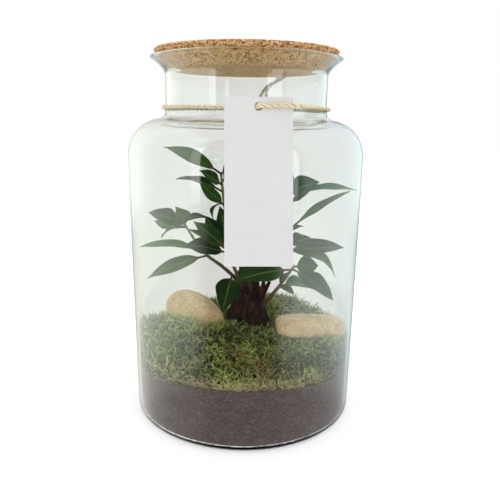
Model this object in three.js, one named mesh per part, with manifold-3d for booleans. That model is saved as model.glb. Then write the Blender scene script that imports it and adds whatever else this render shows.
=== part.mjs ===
// A planted glass terrarium: a wide corked jar holds potting soil, a cover of moss, two river
// pebbles and a small fig with a swollen trunk. A twine round the jar's neck carries a card tag.
// Millimetres, +Z up. The origin is the middle of the jar's flat underside, and -Y is the front.

import * as THREE from 'three';
import { mergeVertices } from 'three/addons/utils/BufferGeometryUtils.js';
import Module from 'manifold-3d';

const wasm = await Module();
wasm.setup();

// Gap between pieces that touch, and the number of flats round everything that fills the jar
const GAP = 0.3;
const ROUND = 48;

// Jar: blown glass, with a flat floor, a body that widens slowly and a quarter-round shoulder
const JAR = {
  wall: 2.5, floor: 2.8, footRadius: 88, footHeight: 6, bodyLow: 93.3, bodyHigh: 95.5, widestZ: 190,
  shoulderZ: 217, shoulderRadius: 29, neckRadius: 64.9, neckZ: 249, flareZ: 279, rimZ: 292, rimRadius: 76.3,
  lipHeight: 1.2,
};
const FLARE_POWER = 1.8;

// Cork: a tapered disc seated in the flare of the rim
const CORK = { lowRadius: 63.2, lowZ: 282.8, highRadius: 73.5, highZ: 298.2, chamfer: 0.8 };

// Twine: one loop round the neck that reaches forward to the card's hole, tied at the back
const TWINE = { radius: 1.5, z: 254.2, knotAngle: 80, sides: 8 };

// The knot's half-sizes and how far it rides up, and the two cut ends that leave it and lean on the
// back of the neck, under the rim's flare: each of their points has a bearing, a distance from the
// jar's axis and a height
const KNOT = { half: [4.6, 3.2, 3.6], lift: 1.5 };
const TAILS = {
  twine_tail_long: [
    [82.5, 68.5, 256.5], [82.8, 69.7, 261], [80, 68.1, 266.1], [77.1, 67.3, 271.4], [73.2, 67.2, 275.8],
    [68, 67.5, 278.4], [62.8, 68, 280.8], [58, 70.3, 284.9],
  ],
  twine_tail_short: [
    [79, 68.5, 256.5], [77.6, 69.8, 261], [74.9, 70.6, 266.2], [75.1, 71.1, 271.1], [72.5, 71.4, 275.6],
    [68.4, 71.6, 279.1], [65.7, 72.6, 284], [65.9, 73.2, 287.1],
  ],
};

// Card: a stiff flat tag that hangs in the twine and leans on the shoulder
const CARD = { width: 45.4, height: 112, thickness: 0.8, lean: 13.2, holeRadius: 2.9, holeDrop: 6.3 };
const CARD_HOLE = new THREE.Vector3(9, -88.3, 254.2);
const CARD_TURN = -0.8;

// Trunk: its middle, radius against height from the buried root to the cut top, and its ribs, each
// set with a count, a depth as a share of the radius, a wind round the trunk per mm and a start
const TRUNK_MIDDLE = { x: 4, y: 0 };
const TRUNK_PROFILE = [
  [28, 7], [36, 14], [46, 20], [56, 22.3], [66, 21.8], [76, 18.6], [86, 14.6], [95, 11.8], [104, 10.2],
  [111, 9.4], [116, 7.2],
];
const RIBS = [
  { count: 3, depth: 0.07, wind: 1 / 17, start: 0 },
  { count: 5, depth: 0.05, wind: -1 / 11, start: 1 },
];

// Cut-back shoots that stand on the right of the trunk: a route and a radius at each end
const STUBS = [
  { route: [[9, -4, 86], [15, -5, 97], [22, -6, 110]], girth: [5, 1.4] },
  { route: [[8, -5, 94], [15, -8, 104], [17, -9, 113]], girth: [3.6, 1.2] },
  { route: [[2, 4, 96], [-3, 8, 106], [-5, 9, 114]], girth: [4, 2.2] },
];

// Pebbles: the middle, half-sizes, tilt about Y, turn about Z and lumpiness of each, and the power
// of its outline, which is 2 for an ellipsoid and more for a fuller stone
const PEBBLES = {
  pebble_left: { at: [-41.5, -20, 85.5], half: [27, 18, 17], tilt: 28, turn: -8, lump: 0.05, power: 2 },
  pebble_right: { at: [55.9, -26, 78], half: [30, 15.5, 8.1], tilt: 1, turn: 6, lump: 0.04, power: 3 },
};

// Soil: the height of its middle, how much higher the front lies and how much lower the sides do
const SOIL = { middle: 48, frontRise: 3, sideDrop: 8, radius: 91 };

// Moss: four cushions side by side, each given by the bearings of its two sides in degrees
const CUSHIONS = {
  moss_back: [30, 150], moss_left: [150, 232.5], moss_front: [232.5, 307.5], moss_right: [307.5, 390],
};
const MOSS = { middle: 58, least: 3, inner: 12, rows: 9, frontDip: 4, frontY: -92, dipSpread: 16 };
// Each mound has a middle, a height and a spread
const MOUNDS = [
  { x: -66, y: -36, rise: 26, spread: 24 },
  { x: -38, y: -46, rise: 14, spread: 13 },
  { x: -16, y: -32, rise: 12, spread: 11 },
  { x: 5, y: -30, rise: 6, spread: 16 },
  { x: 34, y: 50, rise: 15, spread: 27 },
  { x: -30, y: 50, rise: 9, spread: 25 },
  { x: 62, y: -24, rise: 14, spread: 25 },
  { x: 4, y: 0, rise: 7, spread: 24 },
];

const LEAF = {
  stalk: 0.15, stalkHalf: 0.8, tipHalf: 0.35, blade: 0.7, stalkThickness: 1.4, columns: 2, rows: 6,
  lean: 0.82, fullness: 0.95, thinning: 6,
};

const colours = {
  glass: { color: 0xdfe9e6, roughness: 0.05, metalness: 0, transparent: true, opacity: 0.35 },
  cork: { color: 0xb98a58, roughness: 0.9, metalness: 0 },
  jute: { color: 0xd9c28a, roughness: 0.95, metalness: 0 },
  card: { color: 0xe3e3e1, roughness: 0.8, metalness: 0 },
  soil: { color: 0x4a3a36, roughness: 1, metalness: 0 },
  moss: { color: 0x6f8a3c, roughness: 1, metalness: 0 },
  stone: { color: 0xc7b394, roughness: 0.8, metalness: 0 },
  bark: { color: 0x3d2118, roughness: 0.9, metalness: 0 },
  leaf: { color: 0x2c5a2a, roughness: 0.45, metalness: 0 },
};

const group = new THREE.Group();

function addMesh(name, geometry, colour) {
  const mesh = new THREE.Mesh(geometry, new THREE.MeshStandardMaterial(colours[colour]));
  mesh.name = name;
  mesh.geometry.computeVertexNormals();
  group.add(mesh);
}

const vector = (xyz) => new THREE.Vector3(...xyz);
const degrees = (angle) => THREE.MathUtils.degToRad(angle);

// A closed geometry as a solid that can be joined and cut
function solid(geometry) {
  const bare = geometry.clone();
  bare.deleteAttribute('normal');
  bare.deleteAttribute('uv');
  const merged = mergeVertices(bare, 1e-4);
  return new wasm.Manifold(new wasm.Mesh({
    numProp: 3,
    vertProperties: Float32Array.from(merged.attributes.position.array),
    triVerts: Uint32Array.from(merged.index.array),
  }));
}

// The largest body of a solid, as a geometry: scraps that a cut leaves loose are dropped
function geometryOf(body) {
  const largest = body.decompose().reduce((a, b) => (a.volume() > b.volume() ? a : b));
  const mesh = largest.getMesh();
  const geometry = new THREE.BufferGeometry();
  geometry.setAttribute('position', new THREE.BufferAttribute(mesh.vertProperties, mesh.numProp));
  geometry.setIndex(new THREE.BufferAttribute(mesh.triVerts, 1));
  return geometry;
}

// Moves every vertex of a geometry to where place(vertex) puts it
function reshape(geometry, place) {
  const position = geometry.attributes.position;
  const vertex = new THREE.Vector3();
  for (let i = 0; i < position.count; i += 1) {
    vertex.fromBufferAttribute(position, i);
    const moved = place(vertex.clone());
    position.setXYZ(i, moved.x, moved.y, moved.z);
  }
  return geometry;
}

// A round bar through a row of points, with flat ends. radiusAt(t, angle) is its radius at the share
// t of its steps, and each section keeps the turn of the one before it.
function bar(points, radiusAt, sides) {
  const steps = points.length - 1;
  const tangents = points.map((_, i) => (
    points[Math.min(i + 1, steps)].clone().sub(points[Math.max(i - 1, 0)]).normalize()
  ));
  const up = Math.abs(tangents[0].z) > 0.7 ? new THREE.Vector3(1, 0, 0) : new THREE.Vector3(0, 0, 1);
  const normal = up.addScaledVector(tangents[0], -up.dot(tangents[0])).normalize();
  const normals = tangents.map((tangent) => (
    normal.addScaledVector(tangent, -normal.dot(tangent)).normalize().clone()
  ));
  return reshape(new THREE.CylinderGeometry(1, 1, 1, sides, steps), (vertex) => {
    const t = vertex.y + 0.5;
    const i = Math.round(t * steps);
    const angle = Math.atan2(vertex.z, vertex.x);
    const out = Math.hypot(vertex.x, vertex.z) * radiusAt(t, angle);
    const across = new THREE.Vector3().crossVectors(normals[i], tangents[i]);
    return points[i].clone()
      .addScaledVector(normals[i], out * Math.cos(angle))
      .addScaledVector(across, out * Math.sin(angle));
  });
}

// Points at even steps along a smooth curve through a route
function smooth(route, steps) {
  return new THREE.CatmullRomCurve3(route.map(vector)).getSpacedPoints(steps);
}

// A slab between two grids of points, upper(u, v) and lower(u, v), both split into triangles alike
function slab(columns, rows, upper, lower) {
  const points = [];
  [upper, lower].forEach((surface) => {
    for (let j = 0; j <= rows; j += 1) {
      for (let i = 0; i <= columns; i += 1) points.push(surface(i / columns, j / rows));
    }
  });
  const sheet = (columns + 1) * (rows + 1);
  const at = (i, j) => j * (columns + 1) + i;
  const index = [];
  const quad = (a, b, c, d) => index.push(a, b, c, a, c, d);
  for (let j = 0; j < rows; j += 1) {
    for (let i = 0; i < columns; i += 1) {
      const [a, b, c, d] = [at(i, j), at(i + 1, j), at(i + 1, j + 1), at(i, j + 1)];
      index.push(a, b, c, a, c, d);
      index.push(sheet + a, sheet + c, sheet + b, sheet + a, sheet + d, sheet + c);
    }
  }
  for (let i = 0; i < columns; i += 1) {
    quad(at(i, 0), sheet + at(i, 0), sheet + at(i + 1, 0), at(i + 1, 0));
    quad(at(i + 1, rows), sheet + at(i + 1, rows), sheet + at(i, rows), at(i, rows));
  }
  for (let j = 0; j < rows; j += 1) {
    quad(at(columns, j), sheet + at(columns, j), sheet + at(columns, j + 1), at(columns, j + 1));
    quad(at(0, j + 1), sheet + at(0, j + 1), sheet + at(0, j), at(0, j));
  }
  const geometry = new THREE.BufferGeometry().setFromPoints(points);
  geometry.setIndex(index);
  return geometry;
}

// Points of an arc in the jar's section, from one angle to another, without its first point
function arc(middle, radiusX, radiusZ, from, to, steps) {
  return Array.from({ length: steps }, (_, i) => {
    const angle = degrees(from + ((to - from) * (i + 1)) / steps);
    return new THREE.Vector2(middle.x + radiusX * Math.cos(angle), middle.y + radiusZ * Math.sin(angle));
  });
}

// Outer radius of the rim's flare at a height
function flareRadius(z) {
  const share = Math.max(0, (z - JAR.flareZ) / (JAR.rimZ - JAR.flareZ));
  return JAR.neckRadius + (JAR.rimRadius - JAR.neckRadius) * share ** FLARE_POWER;
}

// Inner radius of the jar's body at a height above its foot
function bodyInnerRadius(z) {
  const share = (z - JAR.footHeight) / (JAR.widestZ - JAR.footHeight);
  return JAR.bodyLow - JAR.wall + (JAR.bodyHigh - JAR.bodyLow) * Math.min(1, share);
}

// The shoulder's quarter circle has its middle on the neck's edge
const SHOULDER_MIDDLE = new THREE.Vector2(JAR.bodyHigh - JAR.shoulderRadius, JAR.shoulderZ);

// One side of the jar's section, from the foot to the rim, set in from the outside by inset
function jarSide(inset) {
  const low = JAR.bodyLow - inset;
  const footMiddle = new THREE.Vector2(JAR.footRadius - inset, JAR.footHeight);
  const flare = [0, 0.4, 0.75, 1].map((share) => {
    const z = JAR.flareZ + share * (JAR.rimZ - JAR.flareZ);
    return new THREE.Vector2(flareRadius(z) - inset, z);
  });
  const corner = low - footMiddle.x;
  const floorZ = inset > 0 ? JAR.floor : 0;
  return [
    new THREE.Vector2(0, floorZ),
    new THREE.Vector2(footMiddle.x, floorZ),
    ...arc(footMiddle, corner, JAR.footHeight - floorZ, -90, 0, 3),
    new THREE.Vector2(JAR.bodyHigh - inset, JAR.widestZ),
    new THREE.Vector2(JAR.bodyHigh - inset, JAR.shoulderZ),
    ...arc(SHOULDER_MIDDLE, JAR.shoulderRadius - inset, JAR.shoulderRadius - inset, 0, 88, 6),
    new THREE.Vector2(JAR.neckRadius - inset, JAR.neckZ - inset / 2),
    ...flare,
  ];
}

function glassJar() {
  const rimMiddle = new THREE.Vector2(JAR.rimRadius - JAR.wall / 2, JAR.rimZ);
  const lip = arc(rimMiddle, JAR.wall / 2, JAR.lipHeight, 0, 180, 3);
  lip.pop();
  const section = [...jarSide(0), ...lip, ...jarSide(JAR.wall).reverse()];
  return new THREE.LatheGeometry(section, ROUND);
}

function corkLid() {
  const { lowRadius, lowZ, highRadius, highZ, chamfer } = CORK;
  return new THREE.LatheGeometry([
    new THREE.Vector2(0, lowZ),
    new THREE.Vector2(lowRadius - chamfer, lowZ),
    new THREE.Vector2(lowRadius, lowZ + chamfer),
    new THREE.Vector2(highRadius, highZ - chamfer),
    new THREE.Vector2(highRadius - chamfer, highZ),
    new THREE.Vector2(0, highZ),
  ], ROUND);
}

// A place beside the card: x along its width, out in front of its middle plane, up from its hole
function besideCard(x, out, up = 0) {
  const lean = degrees(CARD.lean);
  const place = new THREE.Vector3(
    x,
    -out * Math.cos(lean) + up * Math.sin(lean),
    up * Math.cos(lean) + out * Math.sin(lean),
  );
  return place.applyAxisAngle(new THREE.Vector3(0, 1, 0), degrees(CARD_TURN)).add(CARD_HOLE);
}

function cardTag() {
  const { width, height, thickness, holeDrop, holeRadius } = CARD;
  const outline = new THREE.Shape([
    new THREE.Vector2(-width / 2, holeDrop - height),
    new THREE.Vector2(width / 2, holeDrop - height),
    new THREE.Vector2(width / 2, holeDrop),
    new THREE.Vector2(-width / 2, holeDrop),
  ]);
  const hole = new THREE.Path();
  hole.absarc(0, 0, holeRadius, 0, 2 * Math.PI, true);
  outline.holes.push(hole);
  const shape = { depth: thickness, bevelEnabled: false, curveSegments: 10 };
  const flat = new THREE.ExtrudeGeometry(outline, shape);
  return reshape(flat, (vertex) => besideCard(vertex.x, vertex.z - thickness / 2, vertex.y));
}

// The twine's ring round the neck
const RING_RADIUS = JAR.neckRadius + GAP + TWINE.radius;

function ringPoint(bearing) {
  const angle = degrees(bearing);
  return new THREE.Vector3(RING_RADIUS * Math.cos(angle), RING_RADIUS * Math.sin(angle), TWINE.z);
}

// Bearing at which a straight strand from a place in front leaves the ring, on one side of it
function leavingBearing(place, side) {
  const bearing = THREE.MathUtils.radToDeg(Math.atan2(place.y, place.x)) + 360;
  return bearing + side * THREE.MathUtils.radToDeg(Math.acos(RING_RADIUS / Math.hypot(place.x, place.y)));
}

// The loop leaves the knot, runs round the left of the neck, comes forward behind the card, goes
// through its hole and back over its front and round the right of the neck to the knot
function twineRoute() {
  const clear = CARD.thickness / 2 + GAP + TWINE.radius;
  const edge = CARD.width / 2;
  const behind = besideCard(-6, -clear - 1.4);
  const passed = besideCard(edge + 3, clear);
  const arcPoints = (from, to) => {
    const steps = Math.round((to - from) / 11);
    return Array.from({ length: steps + 1 }, (_, i) => ringPoint(from + ((to - from) * i) / steps));
  };
  const left = arcPoints(TWINE.knotAngle, leavingBearing(behind, -1));
  const right = arcPoints(leavingBearing(passed, 1), TWINE.knotAngle + 360);
  const between = (from, to, share) => from.clone().lerp(to, share);
  return new THREE.CatmullRomCurve3([
    ...left,
    between(left.at(-1), behind, 0.3),
    between(left.at(-1), behind, 0.6),
    between(left.at(-1), behind, 0.85),
    behind,
    besideCard(-3.4, -clear),
    besideCard(-1.5, -clear + 0.7),
    besideCard(0, 0),
    besideCard(1.5, clear - 0.7),
    besideCard(3.4, clear + 0.1),
    besideCard(7, clear + 0.5),
    besideCard(edge / 2, clear + 0.5),
    besideCard(edge - 2, clear + 0.5),
    passed,
    between(passed, right[0], 0.25),
    between(passed, right[0], 0.6),
    ...right,
  ]);
}

function neckTwine() {
  const route = twineRoute();
  const loop = bar(route.getPoints(2 * (route.points.length - 1)), () => TWINE.radius, TWINE.sides);
  return geometryOf(solid(loop).add(knot()));
}

// The knot's lump, grown by extra where room is cut for it
function knot(extra = 0) {
  const angle = degrees(TWINE.knotAngle);
  const [width, depth, height] = KNOT.half;
  const middle = RING_RADIUS + depth - TWINE.radius;
  return solid(reshape(new THREE.SphereGeometry(1, 12, 8), (vertex) => {
    vertex.multiply(new THREE.Vector3(width + extra, depth + extra, height + extra));
    vertex.applyAxisAngle(new THREE.Vector3(0, 0, 1), angle - Math.PI / 2);
    vertex.add(new THREE.Vector3(middle * Math.cos(angle), middle * Math.sin(angle), TWINE.z + KNOT.lift));
    return vertex;
  }));
}

function twineTail(bearings) {
  const route = bearings.map(([bearing, radius, z]) => (
    [radius * Math.cos(degrees(bearing)), radius * Math.sin(degrees(bearing)), z]
  ));
  return geometryOf(solid(bar(smooth(route, 10), () => TWINE.radius, TWINE.sides)).subtract(knot(GAP)));
}

// Height of the soil's surface, which lies higher at the front than at the sides
function soilTop(x, y) {
  return SOIL.middle - SOIL.frontRise * (y / SOIL.radius) - SOIL.sideDrop * (x / SOIL.radius) ** 2;
}

// Height of the moss cushions, with their mounds and tufts
function mossTop(x, y) {
  const frontDip = MOSS.frontDip * Math.exp(-((y - MOSS.frontY) ** 2) / (2 * MOSS.dipSpread ** 2));
  const broadTufts = 0.9 * Math.sin(x / 3.1 + Math.cos(y / 5)) * Math.sin(y / 3.7 + x / 9);
  const fineTufts = 0.6 * Math.sin(x / 1.9 - y / 2.3);
  const mounds = MOUNDS.reduce((sum, { x: mx, y: my, rise, spread }) => {
    const distance = (x - mx) ** 2 + (y - my) ** 2;
    return sum + rise * Math.exp(-distance / (2 * spread ** 2));
  }, 0);
  return Math.max(MOSS.middle - frontDip + mounds + broadTufts + fineTufts, soilTop(x, y) + MOSS.least);
}

function pottingSoil(trunkRoom) {
  const low = JAR.floor + GAP;
  const side = jarSide(JAR.wall + GAP).filter((point) => point.y > low && point.y < JAR.widestZ);
  const topRadius = bodyInnerRadius(soilTop(0, 0)) - GAP;
  const rings = [72, 50, 28];
  const section = [
    new THREE.Vector2(0, low),
    new THREE.Vector2(JAR.footRadius - JAR.wall - GAP, low),
    ...side,
    new THREE.Vector2(topRadius, soilTop(0, 0)),
    ...rings.map((radius) => new THREE.Vector2(radius, soilTop(0, 0))),
    new THREE.Vector2(0, soilTop(0, 0)),
  ];
  const heap = reshape(new THREE.LatheGeometry(section, ROUND).rotateX(Math.PI / 2), (vertex) => {
    if (vertex.z > soilTop(0, 0) - 1e-3) vertex.z = soilTop(vertex.x, vertex.y);
    return vertex;
  });
  return geometryOf(solid(heap).subtract(trunkRoom));
}

function mossCushion([from, to], room) {
  const columns = Math.round((to - from) / (360 / ROUND));
  const place = (u, v, height) => {
    const angle = degrees(from + (to - from) * u);
    const radius = MOSS.inner + (bodyInnerRadius(SOIL.middle) - GAP - MOSS.inner) * v;
    const inset = (u === 0 ? GAP : 0) - (u === 1 ? GAP : 0);
    const x = radius * Math.cos(angle) - inset * Math.sin(angle);
    const y = radius * Math.sin(angle) + inset * Math.cos(angle);
    return new THREE.Vector3(x, y, height(x, y));
  };
  const cushion = slab(
    columns,
    MOSS.rows,
    (u, v) => place(u, 1 - v, mossTop),
    (u, v) => place(u, 1 - v, (x, y) => soilTop(x, y) + GAP),
  );
  return geometryOf(room.reduce((body, cutter) => body.subtract(cutter), solid(cushion)));
}

// A water-worn stone: an ellipsoid with a few shallow lumps, grown by extra where room is cut for it
function pebble({ at, half, tilt, turn, lump, power }, extra = 0) {
  return reshape(new THREE.SphereGeometry(1, 18, 10), (vertex) => {
    const sum = vertex.toArray().reduce((total, part) => total + Math.abs(part) ** power, 0);
    vertex.multiplyScalar(1 / sum ** (1 / power));
    const swell = 1 + lump * Math.sin(2.3 * vertex.x + 1) * Math.cos(2.9 * vertex.y + vertex.z);
    vertex.multiply(new THREE.Vector3(...half.map((size) => size * swell + extra)));
    vertex.applyAxisAngle(new THREE.Vector3(0, 1, 0), degrees(tilt));
    vertex.applyAxisAngle(new THREE.Vector3(0, 0, 1), degrees(turn));
    return vertex.add(vector(at));
  });
}

function trunkRadius(z) {
  const above = TRUNK_PROFILE.findIndex(([height]) => height > z);
  if (above <= 0) return TRUNK_PROFILE.at(above)[1];
  const [lowZ, lowRadius] = TRUNK_PROFILE[above - 1];
  const [highZ, highRadius] = TRUNK_PROFILE[above];
  return lowRadius + ((highRadius - lowRadius) * (z - lowZ)) / (highZ - lowZ);
}

// The swollen trunk with its ribs, grown by extra where room is cut for it
function trunk(extra = 0) {
  const heights = TRUNK_PROFILE.map(([z]) => z);
  const [low, high] = [heights[0], heights.at(-1)];
  const middle = new THREE.LineCurve3(
    new THREE.Vector3(TRUNK_MIDDLE.x, TRUNK_MIDDLE.y, low - extra),
    new THREE.Vector3(TRUNK_MIDDLE.x, TRUNK_MIDDLE.y, high + extra),
  );
  const radius = (t, angle) => {
    const z = low + (high - low) * t;
    const ribs = RIBS.reduce((sum, { count, depth, wind, start }) => (
      sum + depth * Math.sin(count * angle + wind * z + start)
    ), 0);
    return trunkRadius(z) * (1 + ribs) + extra;
  };
  const swollen = solid(bar(middle.getSpacedPoints(14), radius, 20));
  return STUBS.reduce((body, { route, girth: [thick, thin] }) => {
    const stub = bar(smooth(route, 4), (t) => thick + (thin - thick) * t + extra, 8);
    return body.add(solid(stub));
  }, swollen);
}

// Half-width of a leaf at the share s of its blade, as a share of the widest: a pointed oval
function ovalShare(s) {
  return Math.sin(Math.PI * Math.min(1, Math.max(0, s)) ** LEAF.lean) ** LEAF.fullness;
}

// A leaf: a short stalk that widens into a pointed oval blade, folded along its midrib and arched.
// face is the way its upper side looks, and fold is how far its halves rise.
function leaf(base, { tip, width, face = [0, -0.3, 1], arch = 3, fold = 0.3 }) {
  const along = vector(tip).sub(base);
  const length = along.length();
  const normal = vector(face);
  const heading = along.clone().normalize();
  normal.addScaledVector(heading, -normal.dot(heading)).normalize();
  const across = new THREE.Vector3().crossVectors(heading, normal);
  const surface = (side) => (u, v) => {
    const s = (v - LEAF.stalk) / (1 - LEAF.stalk);
    const isBlade = Math.max(0, Math.min(1, s * LEAF.thinning));
    const half = Math.max(
      s > 0 ? (width / 2) * ovalShare(s) : 0,
      LEAF.stalkHalf + (LEAF.tipHalf - LEAF.stalkHalf) * Math.max(0, s),
    );
    const reach = (2 * u - 1) * half;
    const thickness = LEAF.stalkThickness + (LEAF.blade - LEAF.stalkThickness) * isBlade;
    const rise = 4 * arch * v * (1 - v) + fold * Math.abs(reach) + (side * thickness) / 2;
    return base.clone()
      .addScaledVector(heading, v * length)
      .addScaledVector(across, reach)
      .addScaledVector(normal, rise);
  };
  return slab(LEAF.columns, LEAF.rows, surface(1), surface(-1));
}

// Leafy stems: a route from the trunk to the tip, a radius at each end, and the leaves, each with
// the share of the stem where it grows, the place of its tip and its full width
const SHOOTS = {
  shoot_left_top: {
    route: [[0, -1, 110], [-5, -3, 130], [-13, -7, 155], [-17, -9, 176], [-20, -10, 202]],
    girth: [2.2, 1],
    leaves: [
      { at: 1, tip: [-65, -20, 224], width: 14, face: [0.4, -0.8, 0.6], arch: 4 },
      { at: 0.84, tip: [-59, 4, 196], width: 12, face: [0, -0.3, 1], arch: 4 },
      { at: 0.9, tip: [-36, -26, 206], width: 11, face: [-0.3, -0.8, 0.6], arch: 1 },
      { at: 0.72, tip: [-36, -32, 199], width: 10, face: [-0.5, -0.8, 0.6], arch: 1 },
      { at: 0.74, tip: [-26, -18, 166], width: 9, face: [-0.9, -0.4, 0.4], arch: 5 },
      { at: 1, tip: [-6, -16, 209], width: 10, face: [0.2, -0.9, 0.5], arch: 2 },
      { at: 0.92, tip: [-3, 18, 210], width: 11, face: [0, 0.5, 1], arch: 2 },
      { at: 0.7, tip: [-2, -30, 196], width: 14, face: [0, -0.8, 0.7] },
    ],
  },
  shoot_left_middle: {
    route: [[-2, -7, 104], [-7, -13, 120], [-12, -19, 134], [-16, -22, 143]],
    girth: [1.9, 0.9],
    leaves: [
      { at: 1, tip: [-39, -42, 168], width: 14, face: [-0.3, -0.8, 0.6], arch: 2 },
      { at: 0.98, tip: [-43, -38, 161], width: 10, face: [0, -0.7, 0.9], arch: 1 },
      { at: 0.86, tip: [-49, -30, 146], width: 17, face: [0, -0.7, 0.8] },
      { at: 0.9, tip: [-21, -12, 176], width: 14, face: [0.3, -0.9, 0.3] },
      { at: 0.95, tip: [-32, -20, 169], width: 16, face: [-0.3, -0.7, 0.8] },
      { at: 0.4, tip: [7, -27, 128], width: 10, face: [0.2, -0.9, 0.4], arch: -1 },
    ],
  },
  shoot_left_low: {
    route: [
      [-3, -3, 107], [-10, -6, 115], [-20, -10, 125], [-31, -13, 134], [-40, -16, 146], [-49, -18, 161],
    ],
    girth: [1.8, 0.9],
    leaves: [
      { at: 0.55, tip: [-78, -32, 119], width: 13, face: [0, -0.75, 0.7], arch: 4 },
      { at: 0.62, tip: [-84, -27, 144], width: 12, face: [0, -0.35, 1], arch: 4 },
      { at: 1, tip: [-77, -26, 172], width: 15, face: [-0.2, -0.7, 0.7], arch: 2 },
      { at: 1, tip: [-54, -34, 178], width: 15, face: [0.2, -0.9, 0.3], arch: 2 },
      { at: 1, tip: [-29, -30, 169], width: 8, face: [-0.1, -0.6, 0.8], arch: 5 },
      { at: 0.96, tip: [-71, -5, 147], width: 11, face: [-0.3, -0.3, 1], arch: 4 },
      { at: 0.97, tip: [-78, 4, 160], width: 15, face: [-0.2, -0.6, 1], arch: -1 },
      { at: 0.16, tip: [-17, -40, 94], width: 21, face: [0, -1, 0.35], arch: 4 },
    ],
  },
  shoot_right_low: {
    route: [[14, -6, 86], [21, -8, 95], [30, -12, 108], [38, -14, 120], [42, -13, 127]],
    girth: [2.1, 0.9],
    leaves: [
      { at: 0.92, tip: [71, -42, 106], width: 18, face: [0.3, -0.7, 0.7] },
      { at: 0.54, tip: [62, 20, 97], width: 17, face: [0, -0.6, 1], arch: 4 },
      { at: 0.52, tip: [43, -14, 101], width: 7, face: [0.6, -0.6, 0.5] },
      { at: 0.9, tip: [-7, -40, 120], width: 19, face: [0, -0.75, 0.7], arch: 4 },
      { at: 0.86, tip: [30, -30, 114], width: 8, face: [-0.6, -0.8, 0.2], arch: 2 },
      { at: 0.96, tip: [62, -14, 127], width: 17, face: [0.1, -0.9, 0.4], arch: 2 },
    ],
  },
  shoot_right_middle: {
    route: [[9, 1, 108], [21, 0, 122], [33, -1, 134], [39, -1, 148], [39, 0, 166], [38, 0, 186]],
    girth: [2.1, 1],
    leaves: [
      { at: 0.43, tip: [79, -32, 147], width: 17, face: [0.1, -0.8, 0.7], arch: 1 },
      { at: 0.42, tip: [81, 10, 111], width: 15, face: [0.4, -0.5, 0.9], arch: 11 },
      { at: 0.47, tip: [59, 20, 143], width: 17, face: [0, -0.6, 0.8], arch: 2 },
      { at: 0.66, tip: [84, -22, 191], width: 9, face: [-0.4, -0.6, 0.8] },
      { at: 0.98, tip: [91, -16, 191], width: 12, face: [0, -0.4, 1], arch: 4 },
      { at: 0.99, tip: [60, -14, 197], width: 19, face: [0.1, -0.9, 0.5], arch: 4 },
      { at: 1, tip: [30, 6, 208], width: 12, face: [0, -0.7, 0.6] },
      { at: 0.9, tip: [51, 4, 188], width: 6, face: [0.3, -0.8, 0.5], arch: 1 },
      { at: 0.62, tip: [49, -6, 159], width: 5, face: [-0.3, -0.5, 0.8], arch: 2 },
    ],
  },
  shoot_crown: {
    route: [[5, 4, 110], [6, 9, 128], [7, 12, 146], [8, 14, 168], [10, 15, 188]],
    girth: [2.6, 1],
    leaves: [
      { at: 0.45, tip: [-8, 52, 146], width: 15, face: [0, 0.5, 1], arch: 4 },
      { at: 0.5, tip: [24, 56, 140], width: 16, face: [0, 0.5, 1], arch: 5 },
      { at: 0.62, tip: [34, 44, 166], width: 14, face: [0, 0.4, 1] },
      { at: 0.72, tip: [-10, 46, 178], width: 14, face: [-0.2, 0.4, 1] },
      { at: 0.86, tip: [12, 54, 194], width: 14, face: [0, 0.4, 1] },
      { at: 0.96, tip: [26, 24, 214], width: 13, face: [0.4, 0.2, 1] },
      { at: 1, tip: [12, -10, 214], width: 14, face: [0, -0.9, 0.6] },
      { at: 0.7, tip: [12, -30, 176], width: 14, face: [0, -0.7, 0.7] },
    ],
  },
};

function shoot({ route, girth: [thick, thin], leaves }, trunkRoom) {
  const curve = new THREE.CatmullRomCurve3(route.map(vector));
  const stem = solid(bar(curve.getSpacedPoints(9), (t) => thick + (thin - thick) * t, 6));
  const blades = leaves.map((one) => solid(leaf(curve.getPointAt(one.at), one)));
  return geometryOf(wasm.Manifold.union([stem, ...blades]).subtract(trunkRoom));
}

const trunkRoom = trunk(GAP);
const pebbleRoom = Object.values(PEBBLES).map((one) => solid(pebble(one, GAP)));

addMesh('glass_jar', glassJar().rotateX(Math.PI / 2), 'glass');
addMesh('cork_lid', corkLid().rotateX(Math.PI / 2), 'cork');
addMesh('neck_twine', neckTwine(), 'jute');
Object.entries(TAILS).forEach(([name, points]) => addMesh(name, twineTail(points), 'jute'));
addMesh('card_tag', cardTag(), 'card');
addMesh('potting_soil', pottingSoil(trunkRoom), 'soil');
Object.entries(CUSHIONS).forEach(([name, bearings]) => {
  addMesh(name, mossCushion(bearings, [trunkRoom, ...pebbleRoom]), 'moss');
});
Object.entries(PEBBLES).forEach(([name, one]) => addMesh(name, pebble(one), 'stone'));
addMesh('fig_trunk', geometryOf(trunk()), 'bark');
Object.entries(SHOOTS).forEach(([name, one]) => addMesh(name, shoot(one, trunkRoom), 'leaf'));

export default group;
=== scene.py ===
# %% [markdown]
# # A planted glass jar
#
# The object is a wide blown-glass jar with a cork lid. Inside it a small fig with a swollen trunk
# stands in potting soil, among moss and two river pebbles. A jute twine round the neck carries a
# bare card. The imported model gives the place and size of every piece. This script gives each piece
# its fine shape and its finish. Lengths are written in millimetres and become metres when a mesh is
# made. Only the scales and depths of the materials are in metres from the start.

# %% Load the frame
from math import atan2, cos, degrees, hypot, pi, radians, sin

import bmesh
import bpy
import numpy as np
from mathutils import Matrix


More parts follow.
